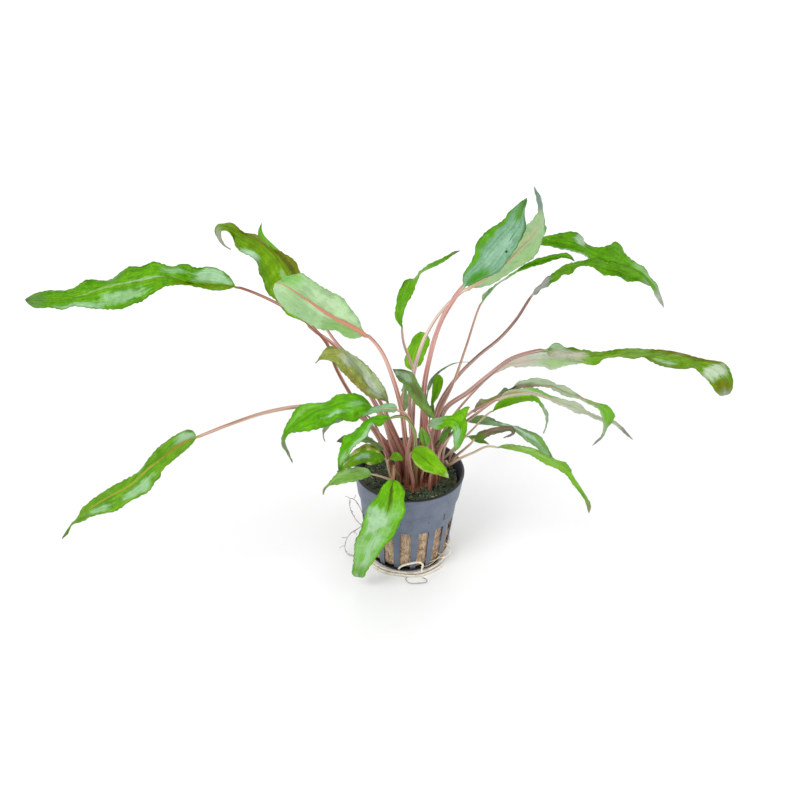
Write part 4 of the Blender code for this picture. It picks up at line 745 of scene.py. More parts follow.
def traced_surface(name, leaf, edges, seed):
    """World grid of a blade with traced edges, rows along it, and its midrib as view points."""
    centre = blade_centre(leaf, edges)
    length = distances(place(centre))[-1]
    t = np.linspace(0.0, 1.0, max(FEWEST_ROWS, round(length / BLADE_STEP)))
    middle = at_shares(centre, t)
    upward, quilting = (-1.0, QUILT_BELOW) if name in UNDERSIDE_SEEN else (1.0, QUILT_ABOVE)
    lean = np.interp(t, *spread(LEANS.get(name, (upward,))))
    true_half = 0.5 * leaf.width * blade_shape(leaf, t)
    columns = {0: place(middle)}
    for index, waves in enumerate(margin_waves(leaf, t, seed)):
        side = 1 - 2 * index
        edge = traced_margin(edges[1 + index], middle, t, length, seed + index)
        seen = np.linalg.norm(edge - middle[:, :2], axis=1)
        depth = np.sqrt(np.maximum(true_half ** 2 - seen ** 2, 0.0)) * cos(CAMERA_PITCH)
        depth = softened(np.minimum(depth, 1.3 * seen + 0.5)) * lean * side
        half = np.hypot(seen, depth)
        quilt = quilting * half * np.sin(2 * pi * t * length / QUILT_LENGTH + side * 1.3)
        for k in range(1, HALF_COUNT + 1):
            c = k / HALF_COUNT
            flat = middle[:, :2] * (1 - c) + edge * c
            wave = waves * np.minimum(half / FULL_WAVE_HALF, 1) * c ** 2
            fold = upward * FOLD * half * c ** FOLD_CURVE
            behind = middle[:, 2] + depth * c - fold + wave + quilt * sin(pi * c)
            columns[side * k] = place(np.column_stack((flat, behind)))
    return np.stack([columns[k] for k in range(-HALF_COUNT, HALF_COUNT + 1)], axis=1), centre


def turned_surface(leaf, seed):
    """The same for a small blade, swept across its midrib from its width and the way it faces."""
    centre = blade_centre(leaf, None)
    middle = place(centre)
    t = np.linspace(0.0, 1.0, max(FEWEST_SMALL_ROWS, round(distances(middle)[-1] / BLADE_STEP)))
    middle = at_shares(middle, t)
    tangent = unit(np.gradient(middle, axis=0))
    heading = middle[-1] - foot_point(leaf.foot)
    across = np.array((-heading[1], heading[0], 0.0)) / np.hypot(heading[0], heading[1])
    side = unit(across - tangent * (tangent @ across)[:, None])
    up = np.cross(tangent, side)
    turn = np.radians(np.interp(t, *spread(leaf.faces)))[:, None] * (1.0 if heading[0] >= 0 else -1.0)
    side, up = side * np.cos(turn) + up * np.sin(turn), up * np.cos(turn) - side * np.sin(turn)
    half = 0.5 * leaf.width * blade_shape(leaf, t)
    waves = margin_waves(leaf, t, seed)
    columns = []
    for k in range(-HALF_COUNT, HALF_COUNT + 1):
        c = k / HALF_COUNT
        wave = waves[0] if k > 0 else waves[1]
        wave = wave * np.minimum(half / FULL_WAVE_HALF, 1) * c ** 2
        lift = SMALL_FOLD * half * abs(c) ** FOLD_CURVE + wave
        columns.append(middle + side * (half * c)[:, None] + up * lift[:, None])
    return np.stack(columns, axis=1), centre


def surface_normals(grid, facing):
    """Unit normals of the grid, pointing to the leaf's upper side."""
    normal = unit(np.cross(np.gradient(grid, axis=0), np.gradient(grid, axis=1)))
    eye = np.array((0.0, -cos(CAMERA_PITCH), sin(CAMERA_PITCH))) * CAMERA_DISTANCE + (0.0, 0.0, POT_HEIGHT)
    towards = np.sum(normal * (eye - grid), axis=2).mean() * facing
    return normal if towards >= 0 else -normal


def rumpled(grid, normal, seed):
    """The grid with the soft dents of a living blade, which fade at the midrib."""
    flat = grid.reshape(-1, 3)
    variant = int(seed * 10) % 50
    dents = lumpy(flat, DENT_SIZES[0], variant) + 0.5 * lumpy(flat, DENT_SIZES[1], variant + 60)
    across = np.abs(np.linspace(-1.0, 1.0, grid.shape[1]))
    along = np.sin(pi * np.linspace(0.0, 1.0, grid.shape[0])) ** 0.5
    size = RUMPLE * np.minimum(1.0, across * 3.0)[None, :] * along[:, None]
    return grid + normal * (dents.reshape(size.shape) * size)[..., None]


# Meshes

def dress(node, data, material):
    """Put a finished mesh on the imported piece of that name."""
    data.materials.append(material)
    made = link_object(f"{node}_dressed", data)
    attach(made, "root")
    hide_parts(node)


class Skin:
    """Points, faces and the values that the materials read, gathered for one piece.

    A leaf's spots are (along, across, 1 on its upper side and 0 below) and its sizes (mm along, mm across,
    seed). The plug's spots are (what it is there, its shade, 1).
    """

    def __init__(self):
        self.points, self.spots, self.sizes, self.faces = [], [], [], []
        self.count = 0

    def add(self, points, spots, sizes, closed=True, flipped=False):
        """A grid of points, joined row to row. A closed one is a tube."""
        rows, columns, _ = points.shape
        first = self.count
        self.count += rows * columns
        for kept, given in ((self.points, points), (self.spots, spots), (self.sizes, sizes)):
            kept.append(np.broadcast_to(given, points.shape).reshape(-1, 3))
        numbers = np.arange(first, self.count).reshape(rows, columns)
        joined = np.hstack((numbers, numbers[:, :1])) if closed else numbers
        for one, two in zip(joined[:-1], joined[1:]):
            self.bridge(*((two, one) if flipped else (one, two)))
        return numbers

    def bridge(self, one, two):
        """Quads between two rows of points, given by their numbers."""
        self.faces.append(np.stack((one[:-1], one[1:], two[1:], two[:-1]), -1))

    def make(self, node, material):
        """The finished piece."""
        data = bpy.data.meshes.new(f"{node}_dressed")
        points = np.concatenate(self.points) * MM
        data.from_pydata(points.tolist(), [], np.concatenate(self.faces).tolist())
        for label, values in (("spot", self.spots), ("size", self.sizes)):
            layer = data.attributes.new(label, "FLOAT_VECTOR", "POINT")
            layer.data.foreach_set("vector", np.concatenate(values).astype(np.float32).ravel())
        data.shade_smooth()
        dress(node, data, material)


def stacked(*values):
    """One grid whose points hold these values, each given as a grid, a row, a column or a number."""
    return np.stack(np.broadcast_arrays(*values), -1)


def add_blade(skin, grid, normal, seed):
    """The blade's upper and lower skins, joined round the edge."""
    rows, columns, _ = grid.shape
    across = np.linspace(-1.0, 1.0, columns)
    along = np.linspace(0.0, 1.0, rows)[:, None]
    thick = (BLADE_THICK * (1.0 - across ** 2) + MARGIN_THICK)[None, :, None]
    steps = np.linalg.norm(np.diff(grid, axis=1), axis=2)
    reach = np.concatenate((np.zeros((rows, 1)), np.cumsum(steps, axis=1)), axis=1)
    reach -= reach[:, HALF_COUNT][:, None]
    sizes = stacked(distances(grid[:, HALF_COUNT])[:, None], reach, seed)
    upper = skin.add(grid + normal * thick, stacked(along, across, 1.0), sizes, closed=False)
    lower = skin.add(grid - normal * thick, stacked(along, across, 0.0), sizes, closed=False, flipped=True)
    skin.bridge(upper[0], lower[0])
    skin.bridge(lower[-1], upper[-1])
    skin.bridge(lower[:, 0], upper[:, 0])
    skin.bridge(upper[:, -1], lower[:, -1])


def rings(line, hint, turn):
    """Directions outward from the line at these angles round it, for each of its points."""
    tangent = unit(np.gradient(line, axis=0))
    side = unit(np.cross(tangent, hint))
    up = np.cross(side, tangent)
    return side[:, None] * np.cos(turn)[None, :, None] + up[:, None] * np.sin(turn)[None, :, None]


def add_tube(skin, line, radius, hint, along, seed):
    """A faintly ribbed tube along the line, with its radius at each point."""
    turn = np.linspace(0.0, 2 * pi, TUBE_SIDES, endpoint=False)
    ribbed = 1.0 + RIDGE * (np.cos(3 * turn + seed) + 0.7 * np.cos(7 * turn + 2 * seed))
    radius = radius[:, None]
    points = line[:, None] + rings(line, hint, turn) * (radius * ribbed)[:, :, None]
    sizes = stacked(distances(line)[:, None], radius * turn, seed)
    numbers = skin.add(points, stacked(along[:, None], 0.0, (np.sin(turn) + 1) / 2), sizes)
    half = TUBE_SIDES // 2
    for end in (numbers[0], numbers[-1]):
        skin.bridge(end[:half], end[:half - 1:-1])


def add_strand(skin, line, radius, kind, shade):
    """A thin thread along a line, tapering at its ends."""
    share = np.linspace(0, 1, len(line))
    radii = radius * np.minimum(1.0, np.sin(pi * np.clip(share, 0.02, 0.98)) * 3)
    ring = rings(line, (0.3, 0.2, 0.9), np.linspace(0, 2 * pi, 5, endpoint=False))
    points = line[:, None] + ring * radii[:, None, None]
    skin.add(points, (kind, shade, 1.0), points)


# Whole leaves

def foot_point(foot):
    """Where a stalk starts: just above the crown, or above the plug beside it."""
    x, y = foot
    from_crown = np.hypot(x - CROWN_AT[0], y - CROWN_AT[1]) / CROWN_RADIUS
    rise = CROWN_RISE * max(0.0, 1.0 - from_crown ** 2)
    fall = PLUG_CROWN * max(0.0, np.hypot(x, y) - PLUG_FLAT) / (PLUG_EDGE - PLUG_FLAT)
    return np.array((x, y, PLUG_TOP + PLUG_CROWN + rise - fall + FOOT_GAP))


def stalk_line(leaf, centre):
    """The world line from the foot to the neck."""
    foot = foot_point(leaf.foot)
    blade = place(centre)
    points = np.vstack((foot, foot + (0.0, 0.0, FOOT_RISE), place(leaf.stalk), blade[0], blade[6]))
    stalk = smooth_line(points)[:-CURVE_STEPS]
    count = max(FEWEST_SECTIONS, round(distances(stalk)[-1] / STALK_STEP))
    return at_shares(stalk, np.linspace(0.0, 1.0, count))


def make_leaf(name, leaf):
    """One leaf: petiole and midrib as a tapering tube, and the blade as a thin closed skin."""
    seed = sum(ord(letter) for letter in name) % 97 * 0.37
    edges = EDGES.get(name)
    grid, centre = traced_surface(name, leaf, edges, seed) if edges else turned_surface(leaf, seed)
    shows_upper = name not in UNDERSIDE_SEEN
    facing = 1.0 if shows_upper else -1.0
    grid = rumpled(grid, surface_normals(grid, facing), seed)
    normal = surface_normals(grid, facing)
    skin = Skin()
    add_blade(skin, grid, normal, seed)
    t = np.linspace(0.0, 1.0, len(grid))
    swell, fall = (0.8, 1.3) if shows_upper else (1.3, 1.0)
    rib = np.maximum(0.5 * leaf.thick * NECK_SHARE * (1.0 - t) ** fall * swell, RIB_LEAST)
    rib_line = grid[:, HALF_COUNT] - normal[:, HALF_COUNT] * (rib * RIB_SUNK - RIB_PROUD)[:, None]
    stalk = stalk_line(leaf, centre)
    run = np.linspace(0.0, 1.0, len(stalk))
    flare = SHEATH_FLARE * max(0.0, leaf.thick - SHEATH_LEAST)
    stem = 0.5 * leaf.thick * (1.0 - (1.0 - NECK_SHARE) * run)
    stem += flare * np.exp(-run * distances(stalk)[-1] / SHEATH_LENGTH)
    line = np.vstack((stalk[0] - (0.0, 0.0, FOOT_DEPTH), stalk[:-1], rib_line))
    radius = np.concatenate(((stem[0] * ROOTED_SHARE,), stem[:-1], rib))
    radius[-1] = TIP_RADIUS
    along = np.concatenate(((-1.0,), run[:-1] - 1.0, t))
    add_tube(skin, line, radius, TOWARDS_VIEWER, along, seed)
    skin.make(name, leaf_material(name, LOOKS[name], shows_upper))


# Materials

def rgb(colour):
    """Linear colour of a screen colour given in bytes."""
    shares = [value / 255.0 for value in colour]
    return (*(s / 12.92 if s <= 0.04045 else ((s + 0.055) / 1.055) ** 2.4 for s in shares), 1.0)


def shaded(colour, share):
    """The screen colour, darkened to this share."""
    return tuple(round(part * share) for part in colour)


class Wire:
    """A value inside a material. Sums and products of wires make the nodes that work them out."""

    def __init__(self, build, socket):
        self.build = build
        self.socket = socket

    def __add__(self, other):
        return self.build.math("ADD", self, other)

    def __sub__(self, other):
        return self.build.math("SUBTRACT", self, other)

    def __rsub__(self, other):
        return self.build.math("SUBTRACT", other, self)

    def __mul__(self, other):
        return self.build.math("MULTIPLY", self, other)

    def __truediv__(self, other):
        return self.build.math("DIVIDE", self, other)

    def __abs__(self):
        return self.build.math("ABSOLUTE", self)

    def step(self, low, high):
        """0 below low and 1 above high, smooth between. It falls where low is the greater."""
        ends = (0.0, 1.0) if low < high else (1.0, 0.0)
        made = self.build.node("ShaderNodeMapRange", interpolation_type="SMOOTHSTEP")
        return self.build.fed(made, self, min(low, high), max(low, high), *ends)


class Nodes:
    """A small helper that makes a material's nodes and joins them."""

    def __init__(self, name):
        self.material = bpy.data.materials.new(name)
        self.material.use_nodes = True
        self.tree = self.material.node_tree
        self.shader = self.tree.nodes["Principled BSDF"]

    def node(self, kind, **settings):
        """A new node with these settings."""
        made = self.tree.nodes.new(kind)
        for label, value in settings.items():
            setattr(made, label, value)
        return made

    def feed(self, socket, value):
        """Join a socket to a wire, or set it to a number, a linear colour or a screen colour."""
        if isinstance(value, Wire):
            self.tree.links.new(value.socket, socket)
        elif isinstance(value, tuple) and len(value) == 3:
            socket.default_value = rgb(value)
        else:
            socket.default_value = value

    def fed(self, made, *values):
        """The node's first output, once its first inputs have these values."""
        for socket, value in zip(made.inputs, values):
            self.feed(socket, value)
        return Wire(self, made.outputs[0])

    def give(self, label, value):
        """Give the surface this value."""
        self.feed(self.shader.inputs[label], value)

    def math(self, operation, one, two=0.0):
        """The result of a sum, product or other operation."""
        return self.fed(self.node("ShaderNodeMath", operation=operation), one, two)

    def most(self, one, two):
        """The greater of two numbers."""
        return self.math("MAXIMUM", one, two)

    def hypot(self, x, y):
        """How far a point is from the middle."""
        return self.math("SQRT", x * x + y * y)

    def mix(self, factor, one, two):
        """The first colour where factor is 0 and the second where it is 1."""
        made = self.node("ShaderNodeMix", data_type="RGBA")
        for index, value in ((0, factor), (6, one), (7, two)):
            self.feed(made.inputs[index], value)
        return Wire(self, made.outputs[2])

    def vector(self, x, y, z):
        """A vector of three numbers."""
        return self.fed(self.node("ShaderNodeCombineXYZ"), x, y, z)

    def parts(self, vector):
        """The three numbers of a vector."""
        made = self.node("ShaderNodeSeparateXYZ")
        self.feed(made.inputs[0], vector)
        return [Wire(self, output) for output in made.outputs]

    def noise(self, vector, scale, detail=2.0, roughness=0.5):
        """Soft noise, mostly between 0.3 and 0.7."""
        made = self.node("ShaderNodeTexNoise")
        given = {"Vector": vector, "Scale": scale, "Detail": detail, "Roughness": roughness}
        for label, value in given.items():
            self.feed(made.inputs[label], value)
        return Wire(self, made.outputs[0])

    def cells(self, vector, scale, feature="F1"):
        """Distance from the middles, or from the borders, of scattered cells."""
        made = self.node("ShaderNodeTexVoronoi", feature=feature)
        self.feed(made.inputs["Vector"], vector)
        self.feed(made.inputs["Scale"], scale)
        return Wire(self, made.outputs["Distance"])

    def position(self):
        """Place on the object, in mm."""
        here = self.node("ShaderNodeTexCoord").outputs["Object"]
        made = self.node("ShaderNodeVectorMath", operation="SCALE")
        made.inputs["Scale"].default_value = 1.0 / MM
        return self.fed(made, Wire(self, here))

    def attribute(self, label):
        """The three numbers that a mesh keeps under this label."""
        made = self.node("ShaderNodeAttribute", attribute_name=label)
        return self.parts(Wire(self, made.outputs["Vector"]))

    def upward(self):
        """1 where the surface faces up and -1 where it faces down."""
        return self.parts(Wire(self, self.node("ShaderNodeNewGeometry").outputs["Normal"]))[2]

    def bump(self, height, distance):
        """Raise the surface by the height, times a distance in mm."""
        made = self.node("ShaderNodeBump")
        self.feed(made.inputs["Height"], height)
        made.inputs["Distance"].default_value = distance * MM
        made.inputs["Strength"].default_value = 1.0
        self.give("Normal", Wire(self, made.outputs[0]))


# Colours as seen on the screen, in bytes
VIVID = (116, 180, 0)
DEEP = (82, 142, 0)
DARK = (58, 106, 8)
SHEEN = (176, 216, 178)
PALE = (166, 210, 150)
MAUVE = (158, 142, 136)
PINK = (214, 156, 145)
ROSE = (194, 130, 118)
BROWN = (170, 106, 82)
CREAM = (226, 208, 176)
PURPLE = (98, 58, 74)
SPECK = (96, 100, 40)
RIB = (112, 130, 20)
MARGIN = (84, 120, 20)
GLINT = (160, 206, 100)
STALK_BELOW = (216, 194, 178)
PAINTED_RIDGE_HIGHLIGHT = (236, 210, 198)

# A spot is a soft patch on the side that faces the viewer: its middle (along, across), its half sizes,
# its colour and how strong it is. Along runs from 0 at the neck to 1 at the tip, and across from -1 at the
# lower margin to 1 at the higher one. SHEEN and the other whitish grey-green spots are painted sheen, the
# highlights of the wet, glossy blade; the rest are the leaf's own patches of colour.
Spot = namedtuple("Spot", "along across long wide colour strength", defaults=(0.8,))

# The other values of a look: upper and deep are the two greens of the upper side, tip_from is where the
# tip's colour starts, rib_width is the half width of the midrib's band at the neck in mm, and veins and
# mottle say how strongly they show. Glint is the colour of the painted glints, small highlights on the
# blade.
Look = namedtuple(
    "Look", "upper deep under rib stalk foot margin tip tip_from rib_width veins mottle glint spots",
    defaults=(VIVID, DEEP, PALE, RIB, ROSE, BROWN, MARGIN, PURPLE, 0.97, 0.6, 0.7, 0.5, GLINT, ()))

LOOKS = {
    "leaf_far_left": Look(
        upper=(110, 182, 0), deep=(78, 146, 0), rib=(116, 132, 20), stalk=(156, 94, 76),
        foot=(194, 136, 122), margin=(98, 116, 16), tip_from=0.985, veins=0.8,
        spots=(Spot(0.12, 0.55, 0.11, 0.42, SHEEN), Spot(0.3, 0.6, 0.07, 0.25, SHEEN, 0.45),
               Spot(0.15, -0.5, 0.16, 0.6, (124, 140, 10), 0.6), Spot(0.42, 0.1, 0.12, 0.08, SHEEN, 0.5),
               Spot(0.52, -0.5, 0.12, 0.3, (166, 210, 156), 0.7), Spot(0.74, -0.8, 0.14, 0.22, SHEEN, 0.6),
               Spot(0.62, 0.05, 0.16, 0.08, (166, 206, 140), 0.5),
               Spot(0.97, -0.2, 0.09, 1.6, (96, 142, 66), 0.75))),
    "leaf_far_left_low": Look(
        upper=(122, 184, 34), deep=(90, 150, 20), rib=(176, 150, 60), stalk=(214, 168, 146),
        margin=(130, 90, 70), tip_from=0.95,
        spots=(Spot(0.08, 0.5, 0.08, 0.4, SHEEN, 0.7), Spot(0.45, -0.55, 0.12, 0.35, SHEEN, 0.6),
               Spot(0.72, -0.5, 0.1, 0.3, SHEEN, 0.5), Spot(0.12, 0.0, 0.14, 0.25, (170, 150, 60), 0.6))),
    # The dark olive spots on its higher half are partly its own olive colour and partly painted shade of the
    # half that folds away at the midrib.
    "leaf_upper_left": Look(
        upper=(124, 174, 0), deep=(98, 140, 0), rib=(100, 114, 0), tip_from=0.985, veins=0.8, rib_width=0.5,
        spots=(Spot(0.42, 0.7, 0.45, 0.6, (120, 126, 0), 0.9),
               Spot(0.34, 0.45, 0.2, 0.3, (88, 92, 0), 0.85),
               Spot(0.62, 0.1, 0.14, 0.3, (104, 120, 0), 0.6),
               Spot(0.27, -0.45, 0.03, 0.18, (206, 228, 196), 0.8),
               Spot(0.34, -0.15, 0.04, 0.1, SHEEN, 0.35), Spot(0.6, -0.85, 0.08, 0.25, SHEEN, 0.9),
               Spot(0.1, -0.4, 0.16, 0.8, (122, 194, 0), 0.85),
               Spot(0.45, -0.9, 0.1, 0.3, (80, 132, 0), 0.6),
               Spot(0.93, 0.0, 0.11, 2.0, (176, 176, 160), 0.95))),
    "leaf_left_spike": Look(upper=(126, 204, 40), deep=(104, 184, 20), rib=(140, 200, 60), veins=0.3),
    "leaf_left_underside": Look(
        under=(170, 211, 150), rib=(206, 138, 112), stalk=(212, 146, 130), rib_width=0.8,
        margin=(150, 190, 120), veins=0.25, mottle=0.3, tip_from=0.99,
        spots=(Spot(0.2, -0.6, 0.16, 0.6, (138, 188, 100), 0.85),
               Spot(0.82, 0.45, 0.2, 0.6, (124, 190, 80), 0.85),
               Spot(0.6, -0.5, 0.2, 0.5, (154, 194, 136), 0.8),
               Spot(0.3, 0.45, 0.3, 0.4, (194, 226, 178), 0.8),
               Spot(0.42, -0.15, 0.16, 0.12, (206, 230, 190), 0.7),
               Spot(0.8, -0.2, 0.12, 0.3, (188, 218, 170), 0.5))),
    "leaf_left_mottled": Look(
        upper=(170, 184, 88), deep=(132, 148, 60), rib=(156, 172, 140), mottle=1.3, veins=0.8,
        rib_width=0.3, margin=(130, 120, 66), tip_from=0.93, tip=MAUVE, glint=(228, 236, 222),
        spots=(Spot(0.35, 0.55, 0.4, 0.6, (190, 210, 166), 0.85),
               Spot(0.5, 0.05, 0.3, 0.3, (134, 152, 112), 0.75),
               Spot(0.24, 0.2, 0.16, 0.3, (206, 216, 206), 0.75),
               Spot(0.66, -0.1, 0.1, 0.4, (190, 200, 184), 0.7),
               Spot(0.6, 0.5, 0.14, 0.4, (140, 156, 116), 0.6),
               Spot(0.4, -0.75, 0.3, 0.25, (140, 124, 44), 0.6),
               Spot(0.75, 0.2, 0.12, 0.6, (176, 176, 84), 0.6),
               Spot(0.15, -0.3, 0.14, 0.5, (188, 214, 176), 0.7))),
    "leaf_left_wide": Look(
        upper=(114, 196, 0), deep=(90, 168, 0), rib=(84, 156, 0), tip_from=0.8, veins=0.5,
        tip=(140, 150, 120),
        spots=(Spot(0.34, -0.45, 0.13, 0.2, (164, 212, 160), 0.8),
               Spot(0.14, -0.1, 0.1, 0.25, (150, 206, 130), 0.6),
               Spot(0.5, 0.1, 0.3, 0.1, (66, 134, 0), 0.6),
               Spot(0.55, 0.6, 0.2, 0.16, (150, 204, 110), 0.5))),
    "leaf_left_pale": Look(upper=(154, 206, 150), deep=(136, 192, 130), rib=(226, 196, 172), rib_width=0.9,
        veins=0.3, stalk=(212, 150, 132)),
    "leaf_left_hook": Look(upper=(150, 196, 130), deep=(130, 170, 110), tip_from=0.7, tip=(150, 150, 130)),
    "leaf_left_down": Look(
        upper=(106, 192, 0), deep=(82, 160, 0), rib=(84, 156, 0), tip_from=0.93, tip=DARK,
        stalk=(104, 126, 36), foot=(150, 104, 72), veins=0.4,
        spots=(Spot(0.5, -0.75, 0.3, 0.3, (176, 216, 170), 0.8),
               Spot(0.85, -0.1, 0.1, 0.6, (170, 208, 160), 0.6))),
    "leaf_left_edge": Look(upper=(140, 168, 116), deep=(116, 146, 90), veins=0.5, tip_from=0.8,
        tip=(100, 104, 84)),
    "leaf_left_scorched": Look(
        upper=(118, 184, 14), deep=(84, 150, 0), rib=(104, 164, 10), mottle=2.0, stalk=(216, 180, 144),
        foot=(200, 150, 112),
        spots=(Spot(0.3, 0.85, 0.34, 0.35, (150, 156, 60), 0.85),
               Spot(0.24, 0.8, 0.07, 0.12, (96, 70, 34), 0.9),
               Spot(0.42, 0.75, 0.05, 0.14, (110, 84, 40), 0.9),
               Spot(0.33, 0.5, 0.05, 0.1, (214, 206, 140), 0.8),
               Spot(0.52, 0.6, 0.05, 0.12, (216, 206, 150), 0.8),
               Spot(0.16, 0.5, 0.05, 0.14, (206, 200, 120), 0.8),
               Spot(0.62, 0.8, 0.1, 0.2, (196, 182, 120), 0.8),
               Spot(0.46, -0.1, 0.16, 0.4, (176, 212, 176), 0.9), Spot(0.84, 0.3, 0.15, 0.4, CREAM, 0.7),
               Spot(0.36, -1.0, 0.06, 0.35, (226, 220, 150), 0.9),
               Spot(0.75, -0.4, 0.2, 0.4, (130, 176, 20), 0.7))),
    "leaf_left_low": Look(
        upper=(150, 198, 100), deep=(124, 176, 72), rib=(140, 184, 96), tip_from=0.86, tip=(142, 150, 100),
        veins=0.5, stalk=(206, 176, 136), foot=(176, 136, 100),
        spots=(Spot(0.3, 0.6, 0.3, 0.4, (166, 206, 136), 0.6),
               Spot(0.55, -0.2, 0.3, 0.3, (124, 184, 50), 0.6))),
    "leaf_left_tiny": Look(upper=(116, 184, 20), deep=(96, 156, 6), stalk=(216, 180, 140),
        foot=(196, 150, 112)),
    "leaf_front_drooping": Look(
        upper=(120, 198, 0), deep=(96, 168, 0), rib=(104, 120, 10), rib_width=0.55, stalk=(152, 108, 60),
        foot=(156, 96, 66), veins=0.5, mottle=0.8, tip_from=0.99, tip=(150, 170, 140),
        spots=(Spot(0.66, -0.1, 0.4, 1.3, (146, 198, 120), 0.9),
               Spot(0.42, -0.45, 0.14, 0.65, (176, 216, 172), 0.85),
               Spot(0.7, 0.1, 0.2, 0.45, (168, 212, 160), 0.75),
               Spot(0.5, -0.95, 0.12, 0.3, (108, 184, 10), 0.8),
               Spot(0.6, -0.35, 0.06, 0.22, (110, 182, 40), 0.7),
               Spot(0.78, -0.35, 0.05, 0.25, (108, 180, 36), 0.7),
               Spot(0.72, 0.45, 0.04, 0.2, (108, 180, 30), 0.6),
               Spot(0.5, 0.1, 0.04, 0.2, (112, 184, 40), 0.6),
               Spot(0.93, 0.0, 0.06, 0.5, (100, 172, 30), 0.7),
               Spot(0.6, 0.95, 0.3, 0.22, (106, 186, 0), 0.9),
               Spot(0.12, 0.0, 0.2, 0.2, (80, 100, 0), 0.85),
               Spot(0.98, -0.6, 0.05, 0.4, (176, 204, 180), 0.8))),
    "leaf_front_oval": Look(
        upper=(134, 202, 4), deep=(108, 174, 0), rib=(112, 168, 0), rib_width=0.35, veins=0.35,
        tip_from=0.88, tip=(206, 232, 140), margin=(184, 214, 110),
        spots=(Spot(0.2, 0.2, 0.2, 1.0, (104, 164, 10), 0.7),
               Spot(0.42, 0.05, 0.22, 0.1, (76, 130, 0), 0.6),
               Spot(0.72, -0.2, 0.18, 0.6, (160, 214, 50), 0.7),
               Spot(0.5, -0.95, 0.4, 0.2, (186, 220, 110), 0.6))),
    "leaf_centre_olive": Look(
        upper=(128, 164, 84), deep=(102, 132, 62), rib=(114, 138, 74), mottle=1.0,
        spots=(Spot(0.12, 0.0, 0.16, 1.0, (134, 180, 80), 0.7),
               Spot(0.5, 0.1, 0.2, 0.6, (98, 112, 58), 0.75),
               Spot(0.4, 0.95, 0.4, 0.25, (112, 164, 74), 0.7),
               Spot(0.34, -0.8, 0.2, 0.35, (124, 164, 40), 0.6),
               Spot(0.8, 0.2, 0.16, 0.7, (158, 188, 156), 0.85),
               Spot(0.93, -0.3, 0.08, 0.6, (186, 214, 196), 0.8))),
    "leaf_centre_pale": Look(under=(140, 180, 110), rib=PINK, rib_width=1.0),
    "leaf_centre_young": Look(upper=(138, 198, 78), deep=(114, 174, 58), tip=(150, 160, 110)),
    "leaf_back_oval": Look(
        upper=(132, 202, 28), deep=(116, 186, 12), rib=(150, 206, 60), veins=0.3, mottle=0.3,
        spots=(Spot(0.8, 0.3, 0.2, 0.6, (110, 180, 0), 0.6),)),
    "leaf_back_narrow": Look(
        stalk=(216, 176, 168), foot=(196, 116, 96), upper=(116, 190, 14), deep=(92, 162, 8),
        rib=(104, 168, 20), tip_from=0.92, tip=(150, 150, 140),
        spots=(Spot(0.55, 0.0, 0.08, 1.5, (140, 184, 90), 0.6),)),
    "leaf_centre_spoon": Look(upper=(124, 192, 6), deep=(94, 162, 0), rib=(86, 140, 0), tip=(100, 130, 10)),
    "leaf_centre_bud": Look(upper=(128, 168, 70), deep=(96, 144, 40), rib=(110, 150, 60)),
    "leaf_grassy": Look(
        upper=(134, 162, 126), deep=(108, 140, 96), rib=(120, 150, 110), stalk=(130, 140, 110),
        tip=(90, 140, 80),
        spots=(Spot(0.12, 0.0, 0.08, 1.0, (150, 186, 140), 0.6),)),
    "leaf_right_hanging": Look(
        upper=(120, 194, 0), deep=(96, 170, 0), rib=(88, 160, 4), veins=0.45,
        spots=(Spot(0.72, -0.5, 0.2, 0.6, (164, 212, 166), 0.85),
               Spot(0.1, 0.0, 0.16, 1.3, (156, 186, 150), 0.9),
               Spot(0.9, 0.2, 0.14, 0.8, (126, 186, 96), 0.7))),
    "leaf_right_dark": Look(upper=(92, 156, 0), deep=(66, 122, 0), rib=(84, 140, 10), tip=(110, 150, 60)),
    "leaf_right_brown": Look(upper=(120, 100, 40), deep=(90, 80, 30), stalk=(160, 90, 70)),
    # Its pale blue-grey upper and deep colours are painted sheen over the green blade, which shows vivid in
    # the green spots.
    "leaf_top_blue": Look(
        upper=(146, 194, 160), deep=(120, 172, 134), rib=(140, 184, 142), stalk=(216, 152, 143),
        rib_width=0.4, foot=(196, 116, 96), tip_from=0.9, tip=(70, 128, 10), veins=0.8, mottle=0.8,
        spots=(Spot(0.3, 1.0, 0.38, 0.55, (94, 168, 0), 0.95),
               Spot(0.68, 1.0, 0.26, 0.42, (90, 162, 0), 0.95),
               Spot(0.14, -0.6, 0.16, 0.75, (70, 150, 10), 0.95),
               Spot(0.86, 0.1, 0.1, 0.7, (82, 150, 0), 0.85), Spot(0.75, -0.95, 0.2, 0.2, DARK, 0.7),
               Spot(0.45, -0.2, 0.2, 0.3, (168, 204, 180), 0.5),
               Spot(0.49, -0.6, 0.016, 0.09, (44, 62, 56), 1.0),
               Spot(0.63, -0.35, 0.05, 0.035, (70, 104, 84), 0.9))),
    "leaf_top_underside": Look(
        under=(180, 218, 158), rib=(212, 184, 150), stalk=(238, 212, 198), rib_width=0.5,
        margin=(150, 186, 110), tip_from=0.8, tip=(122, 146, 140), veins=0.2,
        spots=(Spot(0.4, -0.6, 0.3, 0.4, (156, 206, 124), 0.5),
               Spot(0.6, 0.2, 0.14, 0.3, (206, 200, 160), 0.4),
               Spot(0.72, -0.9, 0.06, 0.3, (84, 128, 44), 0.8))),
    "leaf_right_thin": Look(
        upper=(118, 196, 20), deep=(92, 164, 6), rib=(120, 180, 40), stalk=(204, 164, 146),
        spots=(Spot(0.08, 0.0, 0.12, 2.0, (176, 208, 156), 0.95),
               Spot(0.26, 0.0, 0.1, 2.0, (180, 192, 160), 0.9))),
    "leaf_right_bright": Look(
